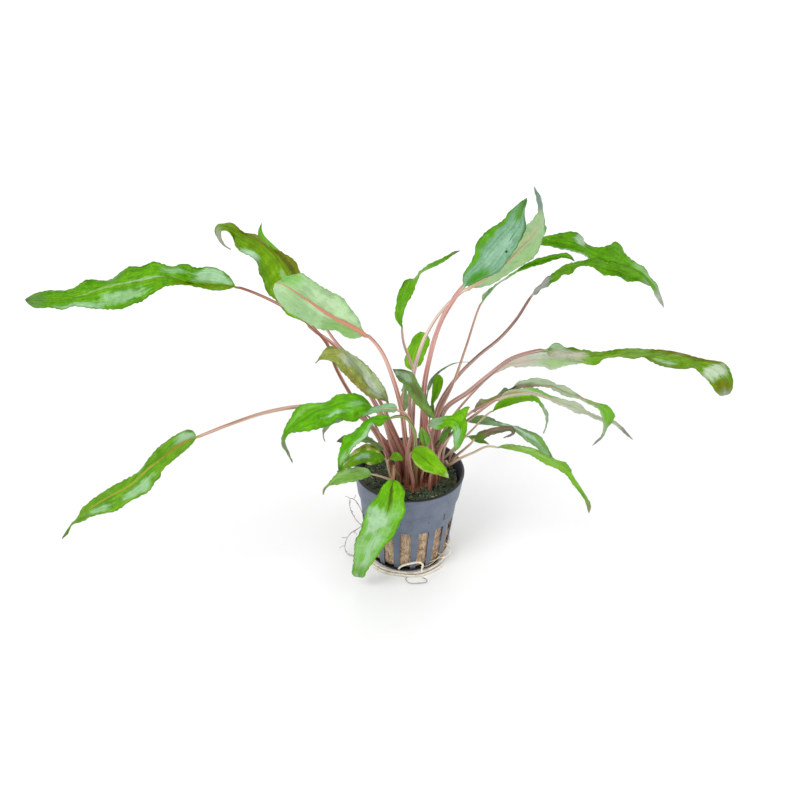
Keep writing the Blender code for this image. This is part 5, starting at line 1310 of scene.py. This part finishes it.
        upper=(108, 182, 0), deep=(84, 150, 0), rib=(86, 150, 0), stalk=(222, 170, 162), tip_from=0.87,
        tip=(196, 200, 188), veins=0.5,
        spots=(Spot(0.28, 0.7, 0.05, 0.4, (196, 222, 196), 0.85),
               Spot(0.3, -0.95, 0.22, 0.3, (190, 212, 196), 0.85),
               Spot(0.78, 0.5, 0.12, 0.45, (168, 208, 150), 0.7),
               Spot(0.6, -0.85, 0.14, 0.2, (150, 196, 110), 0.6))),
    "leaf_right_arching": Look(
        upper=(106, 176, 4), deep=(84, 146, 2), rib=(96, 156, 4), stalk=(158, 118, 110),
        foot=(204, 158, 144), tip_from=0.92, tip=(150, 170, 130),
        spots=(Spot(0.08, 0.2, 0.12, 1.4, (196, 188, 194), 0.9),
               Spot(0.3, -0.2, 0.08, 1.4, (120, 176, 40), 0.5))),
    "leaf_right_long": Look(
        upper=(118, 168, 8), deep=(92, 138, 0), rib=(104, 138, 14), stalk=(184, 138, 130),
        foot=(150, 90, 74), rib_width=0.5, veins=0.6, tip_from=0.965, tip=(186, 180, 190),
        margin=(120, 116, 30),
        spots=(Spot(0.11, -0.3, 0.125, 1.1, (212, 206, 190), 0.85),
               Spot(0.3, -0.6, 0.12, 0.6, (118, 178, 20), 0.8),
               Spot(0.07, 0.8, 0.06, 0.6, (172, 206, 164), 0.85),
               Spot(0.66, 0.8, 0.2, 0.3, (116, 96, 6), 0.8), Spot(0.62, -0.6, 0.06, 0.3, SHEEN, 0.5),
               Spot(0.855, 0.0, 0.05, 1.2, (206, 224, 196), 0.8),
               Spot(0.94, 0.0, 0.045, 1.2, (108, 116, 0), 0.9),
               Spot(0.6, -0.9, 0.2, 0.25, (98, 120, 0), 0.6))),
    "leaf_right_pale": Look(
        under=(230, 238, 218), rib=(212, 200, 180), rib_width=0.3, margin=(190, 184, 156),
        stalk=(218, 176, 160), veins=0.3, mottle=0.4,
        spots=(Spot(0.65, -0.4, 0.3, 0.6, (182, 222, 144), 0.85),
               Spot(0.2, 0.1, 0.2, 1.2, (238, 222, 212), 0.8),
               Spot(0.8, 0.4, 0.2, 0.5, (170, 206, 130), 0.6))),
    "leaf_right_hooked": Look(
        under=(186, 208, 168), rib=(164, 138, 116), rib_width=0.4, stalk=(202, 156, 140),
        margin=(140, 150, 110), tip_from=0.92, tip=(120, 96, 110), veins=0.4,
        spots=(Spot(0.79, 0.3, 0.13, 1.6, (108, 180, 14), 0.95),
               Spot(0.68, 0.6, 0.1, 0.5, (108, 170, 60), 0.7),
               Spot(0.43, 0.3, 0.13, 0.6, (166, 186, 150), 0.6),
               Spot(0.27, -0.4, 0.1, 1.0, (168, 140, 122), 0.7),
               Spot(0.02, 0.6, 0.05, 1.0, (150, 132, 116), 0.9),
               Spot(0.12, 0.6, 0.06, 1.0, (140, 150, 60), 0.85),
               Spot(0.19, 0.6, 0.04, 1.0, (134, 146, 116), 0.85))),
    "leaf_right_purple": Look(
        under=(206, 216, 190), rib=(188, 176, 150), rib_width=0.3, stalk=(206, 160, 144),
        margin=(150, 140, 116), tip_from=0.86, tip=(140, 136, 130), veins=0.4,
        spots=(Spot(0.3, 0.7, 0.16, 0.5, (110, 184, 24), 0.9),
               Spot(0.08, 0.0, 0.1, 1.0, (150, 150, 70), 0.7),
               Spot(0.62, 0.3, 0.2, 0.6, (186, 208, 166), 0.7))),
    "leaf_right_yellow": Look(upper=(136, 206, 0), deep=(112, 182, 0), rib=(120, 196, 10),
        stalk=(228, 204, 172), foot=(210, 178, 146), tip_from=0.66, tip=(176, 196, 166), veins=0.3),
    "leaf_right_grey": Look(
        upper=(154, 192, 140), deep=(112, 162, 88), rib=(166, 194, 148), veins=0.8, mottle=1.0,
        stalk=(206, 178, 150), tip_from=0.97,
        spots=(Spot(0.5, 0.8, 0.3, 0.3, (104, 120, 60), 0.7),
               Spot(0.47, -0.1, 0.2, 0.55, (196, 222, 198), 0.9),
               Spot(0.7, 0.0, 0.1, 0.4, (176, 210, 176), 0.7),
               Spot(0.85, 0.5, 0.16, 0.5, (112, 176, 40), 0.7),
               Spot(0.12, 0.0, 0.12, 1.0, (110, 156, 70), 0.7))),
    "leaf_right_curled": Look(
        under=(160, 140, 126), rib=(170, 130, 116), stalk=(220, 186, 158), foot=(206, 168, 138),
        tip_from=0.8, upper=(136, 134, 100), deep=(112, 108, 78), tip=(140, 124, 130),
        spots=(Spot(0.12, -0.2, 0.14, 1.0, (110, 160, 36), 0.9),
               Spot(0.4, 0.5, 0.3, 0.6, (150, 116, 104), 0.8))),
    "leaf_right_low": Look(
        upper=(140, 200, 50), deep=(118, 184, 24), rib=(150, 200, 84), stalk=(230, 212, 180),
        foot=(216, 190, 160), tip_from=0.88, tip=(150, 150, 110),
        spots=(Spot(0.1, 0.0, 0.12, 1.2, (164, 196, 110), 0.7),
               Spot(0.3, 0.3, 0.2, 0.5, (166, 206, 120), 0.6),
               Spot(0.35, -0.4, 0.3, 0.4, (150, 204, 80), 0.6),
               Spot(0.62, 0.6, 0.12, 0.4, (124, 180, 70), 0.6))),
    "leaf_right_tiny": Look(upper=(110, 170, 40), deep=(90, 150, 30), stalk=(218, 196, 166),
        foot=(206, 176, 146)),
}


def leaf_material(name, look, shows_upper):
    """Skin of one leaf: mottled blade, patches, painted sheen and glints, midrib, margin, tip and petiole.
    """
    build = Nodes(name)
    along, across, upper = build.attribute("spot")
    length, width, seed = build.attribute("size")
    beside = abs(across)
    flat = build.vector(length, width, seed)
    blotch = build.noise(flat, 0.16, 3.0, 0.6)
    fine = build.noise(flat, 1.3, 3.0, 0.6)
    streak = build.noise(build.vector(length * 0.05, across * 4.0, seed), 1.6, 3.0, 0.6)
    ridges = build.noise(build.vector(length * 0.03, width * 2.2, seed), 1.0, 2.0)
    tone = blotch * 0.6 + streak * 0.5
    rough_edge = tone * 2.2 - 1.2
    lines = vein_lines(build, look, across, length, width, seed, streak)
    skin = build.mix(tone.step(0.42, 0.72), look.upper, look.deep)
    skin = build.mix(lines * (0.7 * look.veins), skin, shaded(look.deep, 0.74))
    under = build.mix(tone.step(0.4, 0.75), look.under, shaded(look.under, 0.9))
    side = upper.step(0.45, 0.55)
    skin = build.mix(side, under, skin)
    shown = side if shows_upper else 1.0 - side
    if shows_upper:
        skin = add_rib(build, skin, look, along, beside, width)
    # Patches of the leaf's own colour, and painted sheen where they are whitish
    for spot in look.spots:
        skin = add_spot(build, skin, spot, along, across, rough_edge, shown)
    if not shows_upper:
        skin = add_rib(build, skin, look, along, beside, width)
    specks = build.noise(flat, 0.7, 4.0, 0.75).step(0.54, 0.68)
    skin = build.mix(specks * (0.35 * look.mottle), skin, SPECK)
    # Painted glints: small bright streaks of highlight, kept away from the midrib
    glints = build.noise(build.vector(length * 0.45, width, seed + 7.0), 0.7, 4.0, 0.7)
    skin = build.mix(glints.step(0.6, 0.7) * beside.step(0.02, 0.2) * 0.45, skin, look.glint)
    skin = build.mix(beside.step(0.93, 1.0) * 0.5, skin, look.margin)
    tip = (blotch * 0.06 + along).step(look.tip_from, look.tip_from + 0.09)
    skin = build.mix(tip * 0.85, skin, look.tip)
    skin = build.mix(along.step(0.01, -0.03), skin, stalk_colour(build, look, along, ridges))
    build.give("Base Color", skin)
    build.give("Roughness", fine * 0.16 + 0.28)
    height = lines * -0.6 + fine * 0.5 + ridges * along.step(0.0, -0.05)
    build.bump(height + streak, 0.3)
    build.give("Coat Weight", 0.07)
    build.give("Coat Roughness", 0.14)
    build.give("Specular IOR Level", 0.13)
    return build.material


def vein_lines(build, look, across, length, width, seed, streak):
    """Where the blade's side veins, fine threads and net of small veins show."""
    wander = streak * 0.6 + abs(across) * 5.0
    veins = build.math("COSINE", wander * (2 * pi)).step(0.7, 1.0)
    threads = build.noise(build.vector(length * 0.09, across * 9.0, seed), 1.4, 4.0, 0.7).step(0.5, 0.68)
    net = build.cells(build.vector(length * 0.5, width, seed), 0.62, "DISTANCE_TO_EDGE").step(0.1, 0.0)
    return build.most(build.most(veins * 0.7, threads), net * (0.3 + 0.3 * look.mottle))


def stalk_colour(build, look, along, ridges):
    """A petiole's colour: darker at its foot and on top, and paler below, with painted highlights on the
    crests of its ridges near the foot and painted shade in its grooves.
    """
    upward = build.upward()
    below = tuple(round(0.55 * part + 0.45 * other) for part, other in zip(look.stalk, STALK_BELOW))
    stalk = build.mix(along.step(-1.0, -0.4), look.foot, look.stalk)
    stalk = build.mix(upward.step(0.25, -0.45) * along.step(-0.95, -0.5), stalk, below)
    stalk = build.mix(upward.step(0.6, 0.95) * 0.45, stalk, shaded(look.stalk, 0.62))
    # Painted highlights along the crests of the ridges near the foot
    stalk = build.mix(ridges.step(0.5, 0.6) * along.step(-1.05, -0.7) * 0.4, stalk, PAINTED_RIDGE_HIGHLIGHT)
    # Painted shade in the grooves between the ridges
    return build.mix(ridges.step(0.5, 0.4) * 0.65, stalk, shaded(look.stalk, 0.62))


def add_rib(build, skin, look, along, beside, width):
    """Colour the midrib: a band that narrows towards the tip, and the whole of the rib's tube."""
    band = along * (-0.75 * look.rib_width) + look.rib_width
    near_rib = build.most((abs(width) / band).step(1.0, 0.4), beside.step(0.03, 0.0))
    return build.mix(near_rib * along.step(0.96, 0.7), skin, look.rib)


def add_spot(build, skin, spot, along, across, rough_edge, shown):
    """Lay one soft patch over the skin colour."""
    away = build.hypot((along - spot.along) / spot.long, (across - spot.across) / spot.wide)
    inside = (away + rough_edge).step(1.15, 0.45)
    return build.mix(inside * spot.strength * shown, skin, spot.colour)


# Pot

SLOT_COUNT = 16
SLOT_FIRST = -1.0               # degrees, from the front towards the right
SLOT_WIDTH = 5.3
SLOT_BOTTOM = 1.8
SLOT_TOP = 26.5
CELLS = 4                       # columns across a slot, and across the bar beside it
SHARP_ANGLE = radians(38)
WALL_MIDDLE = 19.75             # radius of the middle of the wall at the base
WALL_SLOPE = 0.122              # and how much it grows with each mm of height
BLACK_FROM = (49.2, 49.7)       # heights between which the outside turns black at the rim
# Height, outside radius and inside radius of the wall, from the base to the rim
POT_ROWS = (
    (0.0, 18.4, 17.6), (0.3, 18.9, 18.0), (1.0, 19.35, 18.3), (1.8, 19.7, 18.7), (5.0, 20.9, 19.9),
    (10.0, 21.5, 20.5), (15.0, 22.1, 21.1), (20.0, 22.7, 21.7), (25.9, 23.38, 22.38), (26.5, 23.45, 22.45),
    (31.0, 24.0, 23.0), (36.0, 24.6, 23.6), (36.4, 24.9, 23.7), (36.9, 25.45, 23.8), (37.3, 25.6, 23.9),
    (43.0, 26.5, 24.9), (48.2, 27.2, 25.7), (48.7, 27.45, 25.8), (49.5, 27.5, 25.9), (49.85, 27.35, 26.1),
    (50.0, 27.0, 26.4))
POT_HEIGHTS, POT_OUTER, _ = zip(*POT_ROWS)
# Nicks and dark specks on the front of the wall: how far right and how high, half width and half height, mm
WALL_MARKS = ((18.2, 33.0, 0.28, 2.2), (10.6, 33.0, 0.32, 0.32), (10.9, 36.2, 0.3, 0.28),
              (-3.0, 33.0, 0.25, 0.25))


def wall_ring(radius, height):
    """One row of the pot's points. A slot is as wide at every radius."""
    half_slot = np.arcsin(0.5 * SLOT_WIDTH / radius)
    pitch = 2 * pi / SLOT_COUNT
    slot = np.linspace(-half_slot, half_slot, CELLS, endpoint=False)
    bar = np.linspace(half_slot, pitch - half_slot, CELLS, endpoint=False)
    starts = radians(SLOT_FIRST) + pitch * np.arange(SLOT_COUNT)
    turn = (starts[:, None] + np.concatenate((slot, bar))).ravel()
    return stacked(radius * np.sin(turn), -radius * np.cos(turn), height)


def is_wall(row, column):
    """Whether this cell of the wall is there, and not a slot's opening."""
    slotted = SLOT_BOTTOM <= POT_HEIGHTS[row] and POT_HEIGHTS[row + 1] <= SLOT_TOP
    return not (slotted and column % (2 * CELLS) < CELLS)


def cell_faces(out, inn, i, j):
    """Faces of one cell: both sides of the wall, and its edges towards the openings beside it."""
    k = (j + 1) % out.shape[1]
    yield out[i, j], out[i, k], out[i + 1, k], out[i + 1, j]
    yield inn[i, k], inn[i, j], inn[i + 1, j], inn[i + 1, k]
    if not is_wall(i, j - 1):
        yield inn[i, j], out[i, j], out[i + 1, j], inn[i + 1, j]
    if not is_wall(i, k):
        yield out[i, k], inn[i, k], inn[i + 1, k], out[i + 1, k]
    if i + 2 < len(out) and not is_wall(i + 1, j):
        yield out[i + 1, j], out[i + 1, k], inn[i + 1, k], inn[i + 1, j]
    if i > 0 and not is_wall(i - 1, j):
        yield out[i, k], out[i, j], inn[i, j], inn[i, k]


def make_pot():
    """The slotted nursery pot: both sides of its wall, joined round each slot, a rolled rim and a base."""
    outer = np.array([wall_ring(radius, height) for height, radius, _ in POT_ROWS])
    inner = np.array([wall_ring(radius, max(height, BASE_THICK)) for height, _, radius in POT_ROWS])
    rows, columns, _ = outer.shape
    out, inn = np.arange(2 * rows * columns).reshape(2, rows, columns)
    below = 2 * rows * columns
    points = np.vstack((outer.reshape(-1, 3), inner.reshape(-1, 3), (0.0, 0.0, 0.0), (0.0, 0.0, BASE_THICK)))
    faces = []
    for j in range(columns):
        k = (j + 1) % columns
        for i in range(rows - 1):
            if is_wall(i, j):
                faces.extend(cell_faces(out, inn, i, j))
        faces.append((out[-1, j], out[-1, k], inn[-1, k], inn[-1, j]))
        faces.append((out[0, k], out[0, j], below))
        faces.append((inn[0, j], inn[0, k], below + 1))
    data = bpy.data.meshes.new("pot_dressed")
    data.from_pydata((points * MM).tolist(), [], [[int(number) for number in face] for face in faces])
    data.shade_smooth()
    data.set_sharp_from_angle(angle=SHARP_ANGLE)
    dress("pot", data, pot_material())


def pot_material():
    """Black moulded plastic, painted a lighter blue-grey outside for the light on it, black inside and on
    the rim, paler low down, faintly grained.
    """
    build = Nodes("pot_plastic")
    place_mm = build.position()
    x, y, z = build.parts(place_mm)
    inside = (build.hypot(x, y) - (z * WALL_SLOPE + WALL_MIDDLE)).step(0.25, -0.25)
    rim = z.step(*BLACK_FROM)
    grain = build.noise(place_mm, 1.4, 4.0, 0.6)
    cloud = build.noise(place_mm, 0.12, 3.0, 0.6)
    # Painted light: the outside of the black plastic gets a lighter blue-grey, for the light and sheen that
    # fall on it
    painted_lit_slate = build.mix(cloud.step(0.35, 0.65), (93, 104, 124), (108, 117, 135))
    # Paler grey towards the base
    painted_lit_slate = build.mix(z.step(6.0, 0.0) * 0.35, painted_lit_slate, (120, 122, 126))
    for right, height, wide, high in WALL_MARKS:
        away = build.most(abs(x - right) / wide, abs(z - height) / high)
        painted_lit_slate = build.mix(away.step(1.2, 0.7) * y.step(0.0, -1.0), painted_lit_slate, (28, 32, 44))
    black = build.mix(grain.step(0.4, 0.7), (20, 22, 23), (38, 40, 40))
    build.give("Base Color", build.mix(build.most(inside, rim), painted_lit_slate, black))
    build.give("Roughness", grain * 0.15 + 0.38)
    build.bump(grain, 0.08)
    build.give("Specular IOR Level", 0.4)
    return build.material


# Plug, moss and crown

PLUG_SIDES = 220
PLUG_ROWS = 70
TOP_RINGS = 26
PLUG_MIDDLE = 0.02              # how far its closed bottom reaches in, as a share of its radius
PLUG_DENTS = (7.0, 0.35)        # size and depth of its dents
WOOL_STRANDS = (1.6, 0.22)      # size and depth of the strands of its wool
STRAND_SQUASH = (1.0, 1.0, 0.35)
CUSHIONS = (6.0, 1.3)           # size and height of the moss cushions on its top
CUSHION_DROP = 0.4              # how far the top lies below them
CROWN_SIDES = 72
CROWN_RINGS = 26
CROWN_LUMPS = (3.2, 0.45)       # size and depth of its lumps
CROWN_SKIRT = 2.0               # how far its edge goes down into the plug
CROWN_DROP = 0.25
FIBRES = 620
FIBRE_SPAN = (1.6, 27.0)        # heights between which the loose fibres lie
FIBRE_REACH = 21.0              # their distance from the middle
MOSS_TUFTS = 1500
MOSS_RADIUS = 23.6              # how far out the moss grows
MOSS_SUNK = 0.3                 # how far below the plug's top it starts
ROOTLET_RADIUS = 0.22
RANDOM_SEED = 11
# What the plug's material shows, by the first of the three values at a point
WOOL, MOSS, FIBRE, ROOTLET, LEAFLET = 0.0, 1.0, 2.0, 3.0, 4.0
# Rootlets outside the wall: degrees from the front where each starts and ends, its heights, and how far it
# stands off the wall, mm
LOW_ROOTLETS = ((22, 62, 2.4, 6.5, 0.7), (30, 74, 6.0, 3.0, 0.9), (38, 80, 3.0, 10.0, 0.8),
                (46, 70, 9.0, 4.5, 0.6), (55, 86, 5.0, 13.0, 0.9), (60, 92, 11.0, 7.0, 0.7))
# Heights from the bottom of the plug up, and its radii there: it ends short of the pot's floor at its edge
PLUG_HEIGHTS, PLUG_RADII = zip((1.4, 16.5), (2.4, 18.4), (5.0, 20.0), (10.0, 20.8), (15.0, 21.4),
                               (25.0, 22.4), (26.5, 22.3), (36.0, 23.2), (44.0, 24.3))


def plug_rise(radius):
    """How much higher the plug's top is at this radius than at its edge."""
    return PLUG_CROWN * np.clip((PLUG_RADII[-1] - radius) / (PLUG_RADII[-1] - PLUG_FLAT), 0, 1)


def make_plug(rng):
    """The plug of mineral wool: a lumpy body, loose fibres in the slots, rootlets, and moss on top."""
    heights = np.linspace(PLUG_HEIGHTS[0], PLUG_HEIGHTS[-1], PLUG_ROWS)
    radii = np.interp(heights, PLUG_HEIGHTS, PLUG_RADII)
    top_radii = radii[-1] * np.linspace(1.0, 0.0, TOP_RINGS + 1)[1:]
    top_heights = PLUG_TOP + plug_rise(top_radii) - CUSHION_DROP
    heights = np.concatenate((heights[:1], heights, top_heights))[:, None]
    radii = np.concatenate((radii[:1] * PLUG_MIDDLE, radii, top_radii))[:, None]
    turn = np.linspace(0, 2 * pi, PLUG_SIDES, endpoint=False)
    grid = stacked(radii * np.cos(turn), radii * np.sin(turn), heights)
    flat = grid.reshape(-1, 3)
    is_top = np.repeat(np.arange(len(grid)) > PLUG_ROWS, PLUG_SIDES)
    size, depth = PLUG_DENTS
    lumps = (lumpy(flat, size, 3) - 1.0) * depth
    size, depth = WOOL_STRANDS
    lumps += lumpy(flat * STRAND_SQUASH, size, 5) * depth
    size, depth = CUSHIONS
    lumps += np.where(is_top, np.maximum(lumpy(flat, size, 9), 0.0) * depth, 0.0)
    outward = np.where(is_top[:, None], (0.0, 0.0, 1.0), unit(flat * (1.0, 1.0, 0.0), 1e-6))
    grid = (flat + outward * lumps[:, None]).reshape(grid.shape)
    kinds = np.where(is_top, MOSS, WOOL).reshape(grid.shape[:2])
    skin = Skin()
    skin.add(grid, stacked(kinds, 0.0, 1.0), grid)
    add_fibres(skin, rng)
    add_low_rootlets(skin)
    add_moss(skin, rng)
    skin.make("growing_plug", plug_material())


def add_fibres(skin, rng):
    """Loose fibres that lie against the inside of the wall, and pale rootlets low down."""
    share = np.linspace(0, 1, 9)
    for index in range(FIBRES):
        turn = rng.uniform(0, 2 * pi)
        height = rng.uniform(3.0, 26.0)
        length = rng.uniform(2.5, 8.0)
        slant = rng.normal(0.0, 0.8)
        curl = rng.normal(0, 0.5) * np.sin(pi * share) + rng.normal(0, 0.25) * np.sin(2 * pi * share)
        z = np.clip(height + (share - 0.5) * length * cos(slant) + curl * 0.5, *FIBRE_SPAN)
        around = turn + ((share - 0.5) * length * sin(slant) + curl) / FIBRE_REACH
        out = np.interp(z, PLUG_HEIGHTS, PLUG_RADII) + 0.1 + 0.35 * rng.uniform() * np.sin(pi * share)
        line = stacked(out * np.cos(around), out * np.sin(around), z)
        if index % 9 == 0 and height < 15.0:
            add_strand(skin, line, 0.2, ROOTLET, rng.uniform())
        else:
            add_strand(skin, line, rng.uniform(0.07, 0.15), FIBRE, rng.uniform())


def add_low_rootlets(skin):
    """Pale rootlets that have grown out of the slots low on the right and lie against the wall."""
    share = np.linspace(0, 1, 14)
    for first, last, low, high, stand in LOW_ROOTLETS:
        turn = np.radians(first + (last - first) * share)
        z = low + (high - low) * share + 0.7 * np.sin(share * 7.0 + first)
        out = np.interp(z, POT_HEIGHTS, POT_OUTER)
        out += stand * np.sin(pi * share) - 0.6 * np.cos(pi * share) ** 8
        add_strand(skin, stacked(out * np.sin(turn), -out * np.cos(turn), z), ROOTLET_RADIUS, ROOTLET, 0.5)


def add_moss(skin, rng):
    """Small dark leaflets of moss and decay on the plug's top, a few of them fresh."""
    share = np.linspace(0, 1, 5)[:, None]
    for _ in range(MOSS_TUFTS):
        radius = MOSS_RADIUS * np.sqrt(rng.uniform())
        turn = rng.uniform(0, 2 * pi)
        root = np.array((radius * cos(turn), radius * sin(turn), PLUG_TOP - MOSS_SUNK + plug_rise(radius)))
        if np.hypot(root[0] - CROWN_AT[0], root[1] - CROWN_AT[1]) < CROWN_RADIUS * 0.85:
            continue
        lean = unit(rng.normal(0, 1.0, 3) * (1.0, 1.0, 0.5) + (0, 0, 0.9))
        length = rng.uniform(1.2, 3.6)
        line = root + lean * (share * length) + (0.0, 0.0, -0.5 * length) * share ** 2
        aside = unit(np.cross(lean, rng.normal(0, 1, 3)))
        wide = rng.uniform(0.16, 0.5) * np.sin(pi * np.clip(share, 0.08, 0.95))
        cup = np.cross(aside, lean) * 0.35
        edges = (line - aside * wide, line - cup * wide, line + aside * wide, line - cup * (wide * 0.6))
        leaflet = np.stack(edges, 1)
        skin.add(leaflet, (LEAFLET, rng.uniform(), 1.0), leaflet)


def plug_material():
    """Brown fibres with dark streaks, black green moss, fresh bits and cream rootlets."""
    build = Nodes("plug_fibre")
    kind, shade, _ = build.attribute("spot")
    place_mm = build.position()
    x, y, z = build.parts(place_mm)
    streak = build.noise(build.vector(x, y, z * 0.3), 0.9, 5.0, 0.7)
    flecks = build.noise(build.vector(x, y, z * 0.55), 0.75, 3.0, 0.6)
    cloud = build.noise(place_mm, 0.16, 3.0, 0.6)
    grain = build.noise(place_mm, 1.2, 4.0, 0.7)
    wool = build.mix(streak.step(0.34, 0.6), (160, 126, 96), (232, 206, 174))
    wool = build.mix(cloud.step(0.56, 0.74) * 0.7, wool, (110, 84, 62))
    wool = build.mix(flecks.step(0.6, 0.68) * 0.75, wool, (66, 46, 34))
    moss = build.mix(grain.step(0.36, 0.66), (28, 40, 32), (96, 118, 92))
    moss = build.mix(cloud.step(0.45, 0.62) * 0.6, moss, (112, 108, 74))
    fibre = build.mix(shade, (140, 104, 76), (232, 204, 172))
    leaflet = build.mix(shade.step(0.1, 0.75), (38, 58, 36), (112, 134, 94))
    leaflet = build.mix(shade.step(0.8, 1.0), leaflet, (176, 186, 142))
    colour = wool
    for value, shown in ((MOSS, moss), (FIBRE, fibre), (ROOTLET, CREAM), (LEAFLET, leaflet)):
        colour = build.mix(kind.step(value - 0.6, value - 0.4), colour, shown)
    build.give("Base Color", colour)
    build.give("Roughness", grain * 0.3 + 0.6)
    build.bump(streak + grain, 0.5)
    return build.material


def make_crown():
    """The rootstock: a scarred brown dome."""
    turn = np.linspace(0, 2 * pi, CROWN_SIDES, endpoint=False)
    share = np.linspace(1.0, 0.02, CROWN_RINGS)
    top = PLUG_TOP + PLUG_CROWN
    heights = top + CROWN_RISE * (1 - share ** 2) - CROWN_DROP
    heights = np.concatenate(((top - CROWN_SKIRT,), heights))[:, None]
    radii = CROWN_RADIUS * np.concatenate(((1.0,), share))[:, None]
    grid = stacked(radii * np.cos(turn), radii * np.sin(turn), heights)
    size, depth = CROWN_LUMPS
    grid[..., 2] += lumpy(grid.reshape(-1, 3), size, 8).reshape(grid.shape[:2]) * depth
    grid += (*CROWN_AT, 0.0)
    skin = Skin()
    skin.add(grid, 0.0, grid)
    skin.make("crown", crown_material())


def crown_material():
    """Damp brown rootstock with paler scars."""
    build = Nodes("crown_bark")
    place_mm = build.position()
    grain = build.noise(place_mm, 0.9, 4.0, 0.7)
    scars = build.cells(place_mm, 0.6)
    colour = build.mix(grain.step(0.4, 0.65), (98, 58, 40), (160, 104, 74))
    build.give("Base Color", build.mix(scars.step(0.5, 0.1), colour, (186, 132, 98)))
    build.give("Roughness", grain * 0.3 + 0.35)
    build.bump(grain + scars, 0.5)
    return build.material


# Roots

BROWN_ROOTS = ("root_left_upper", "root_left_lower", "root_floor_thread")
HAIRY_ROOTS = BROWN_ROOTS[:2]
BROWN_SHARE = 0.66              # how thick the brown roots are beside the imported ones
ROOT_STEPS = 14
ROOT_ENDS = (0.1, 0.7, 0.9, 1.0)
HAIR_COUNT = 8
HAIR_LENGTH = (1.5, 4.5)
HAIR_RADIUS = 0.13


def make_root(name, points, diameter, material):
    """A root as a smooth tube that swells and thins a little."""
    line = smooth_line(points, ROOT_STEPS)
    seed = sum(ord(letter) for letter in name) % 31
    line = line + 0.08 * np.stack([lumpy(line + k * 7.0, 5.0, seed + k) for k in range(3)], -1) * diameter
    radius = 0.5 * diameter * (1.0 + 0.12 * lumpy(line, 4.0, seed))
    radius[:4] *= ROOT_ENDS
    radius[-4:] *= ROOT_ENDS[::-1]
    line[:, 2] = np.maximum(line[:, 2], radius * 1.02)
    skin = Skin()
    add_tube(skin, line, radius, (0.2, 0.3, 0.93), np.linspace(0, 1, len(line)), float(seed))
    if name in HAIRY_ROOTS:
        add_hairs(skin, line, seed)
    skin.make(name, material)


def add_hairs(skin, line, seed):
    """Short fine side roots that leave a root at uneven places."""
    rng = np.random.default_rng(seed)
    share = np.linspace(0, 1, 8)[:, None]
    for along in np.linspace(0.12, 0.9, HAIR_COUNT):
        lean = unit(rng.normal(0.0, 1.0, 3) * (1.0, 0.7, 1.0))
        bend = rng.normal(0.0, 0.35, 3)
        start = line[int(along * (len(line) - 1))]
        hair = start + rng.uniform(*HAIR_LENGTH) * (lean * share + bend * share ** 2)
        hair[:, 2] = np.maximum(hair[:, 2], HAIR_RADIUS)
        add_strand(skin, hair, HAIR_RADIUS, ROOTLET, 0.5)


def root_material(name, light, dark):
    """Root skin with darker stretches."""
    build = Nodes(name)
    place_mm = build.position()
    cloud = build.noise(place_mm, 0.35, 3.0, 0.6)
    grain = build.noise(place_mm, 2.2, 3.0, 0.6)
    colour = build.mix(cloud.step(0.45, 0.72), light, dark)
    build.give("Base Color", build.mix(grain.step(0.52, 0.75) * 0.35, colour, (126, 104, 88)))
    build.give("Roughness", grain * 0.2 + 0.4)
    build.bump(grain, 0.15)
    return build.material


def make_roots():
    """All the roots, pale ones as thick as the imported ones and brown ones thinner."""
    pale = root_material("root_pale", (246, 238, 222), (206, 192, 174))
    brown = root_material("root_brown", (164, 152, 144), (104, 90, 84))
    for name, (points, diameter) in ROOTS.items():
        if name in BROWN_ROOTS:
            make_root(name, points, diameter * BROWN_SHARE, brown)
        else:
            make_root(name, points, diameter, pale)


# The whole plant


make_camera()
make_studio()
random_source = np.random.default_rng(RANDOM_SEED)
make_pot()
make_plug(random_source)
make_crown()
for leaf_name, leaf_shape in LEAVES.items():
    make_leaf(leaf_name, leaf_shape)
make_roots()
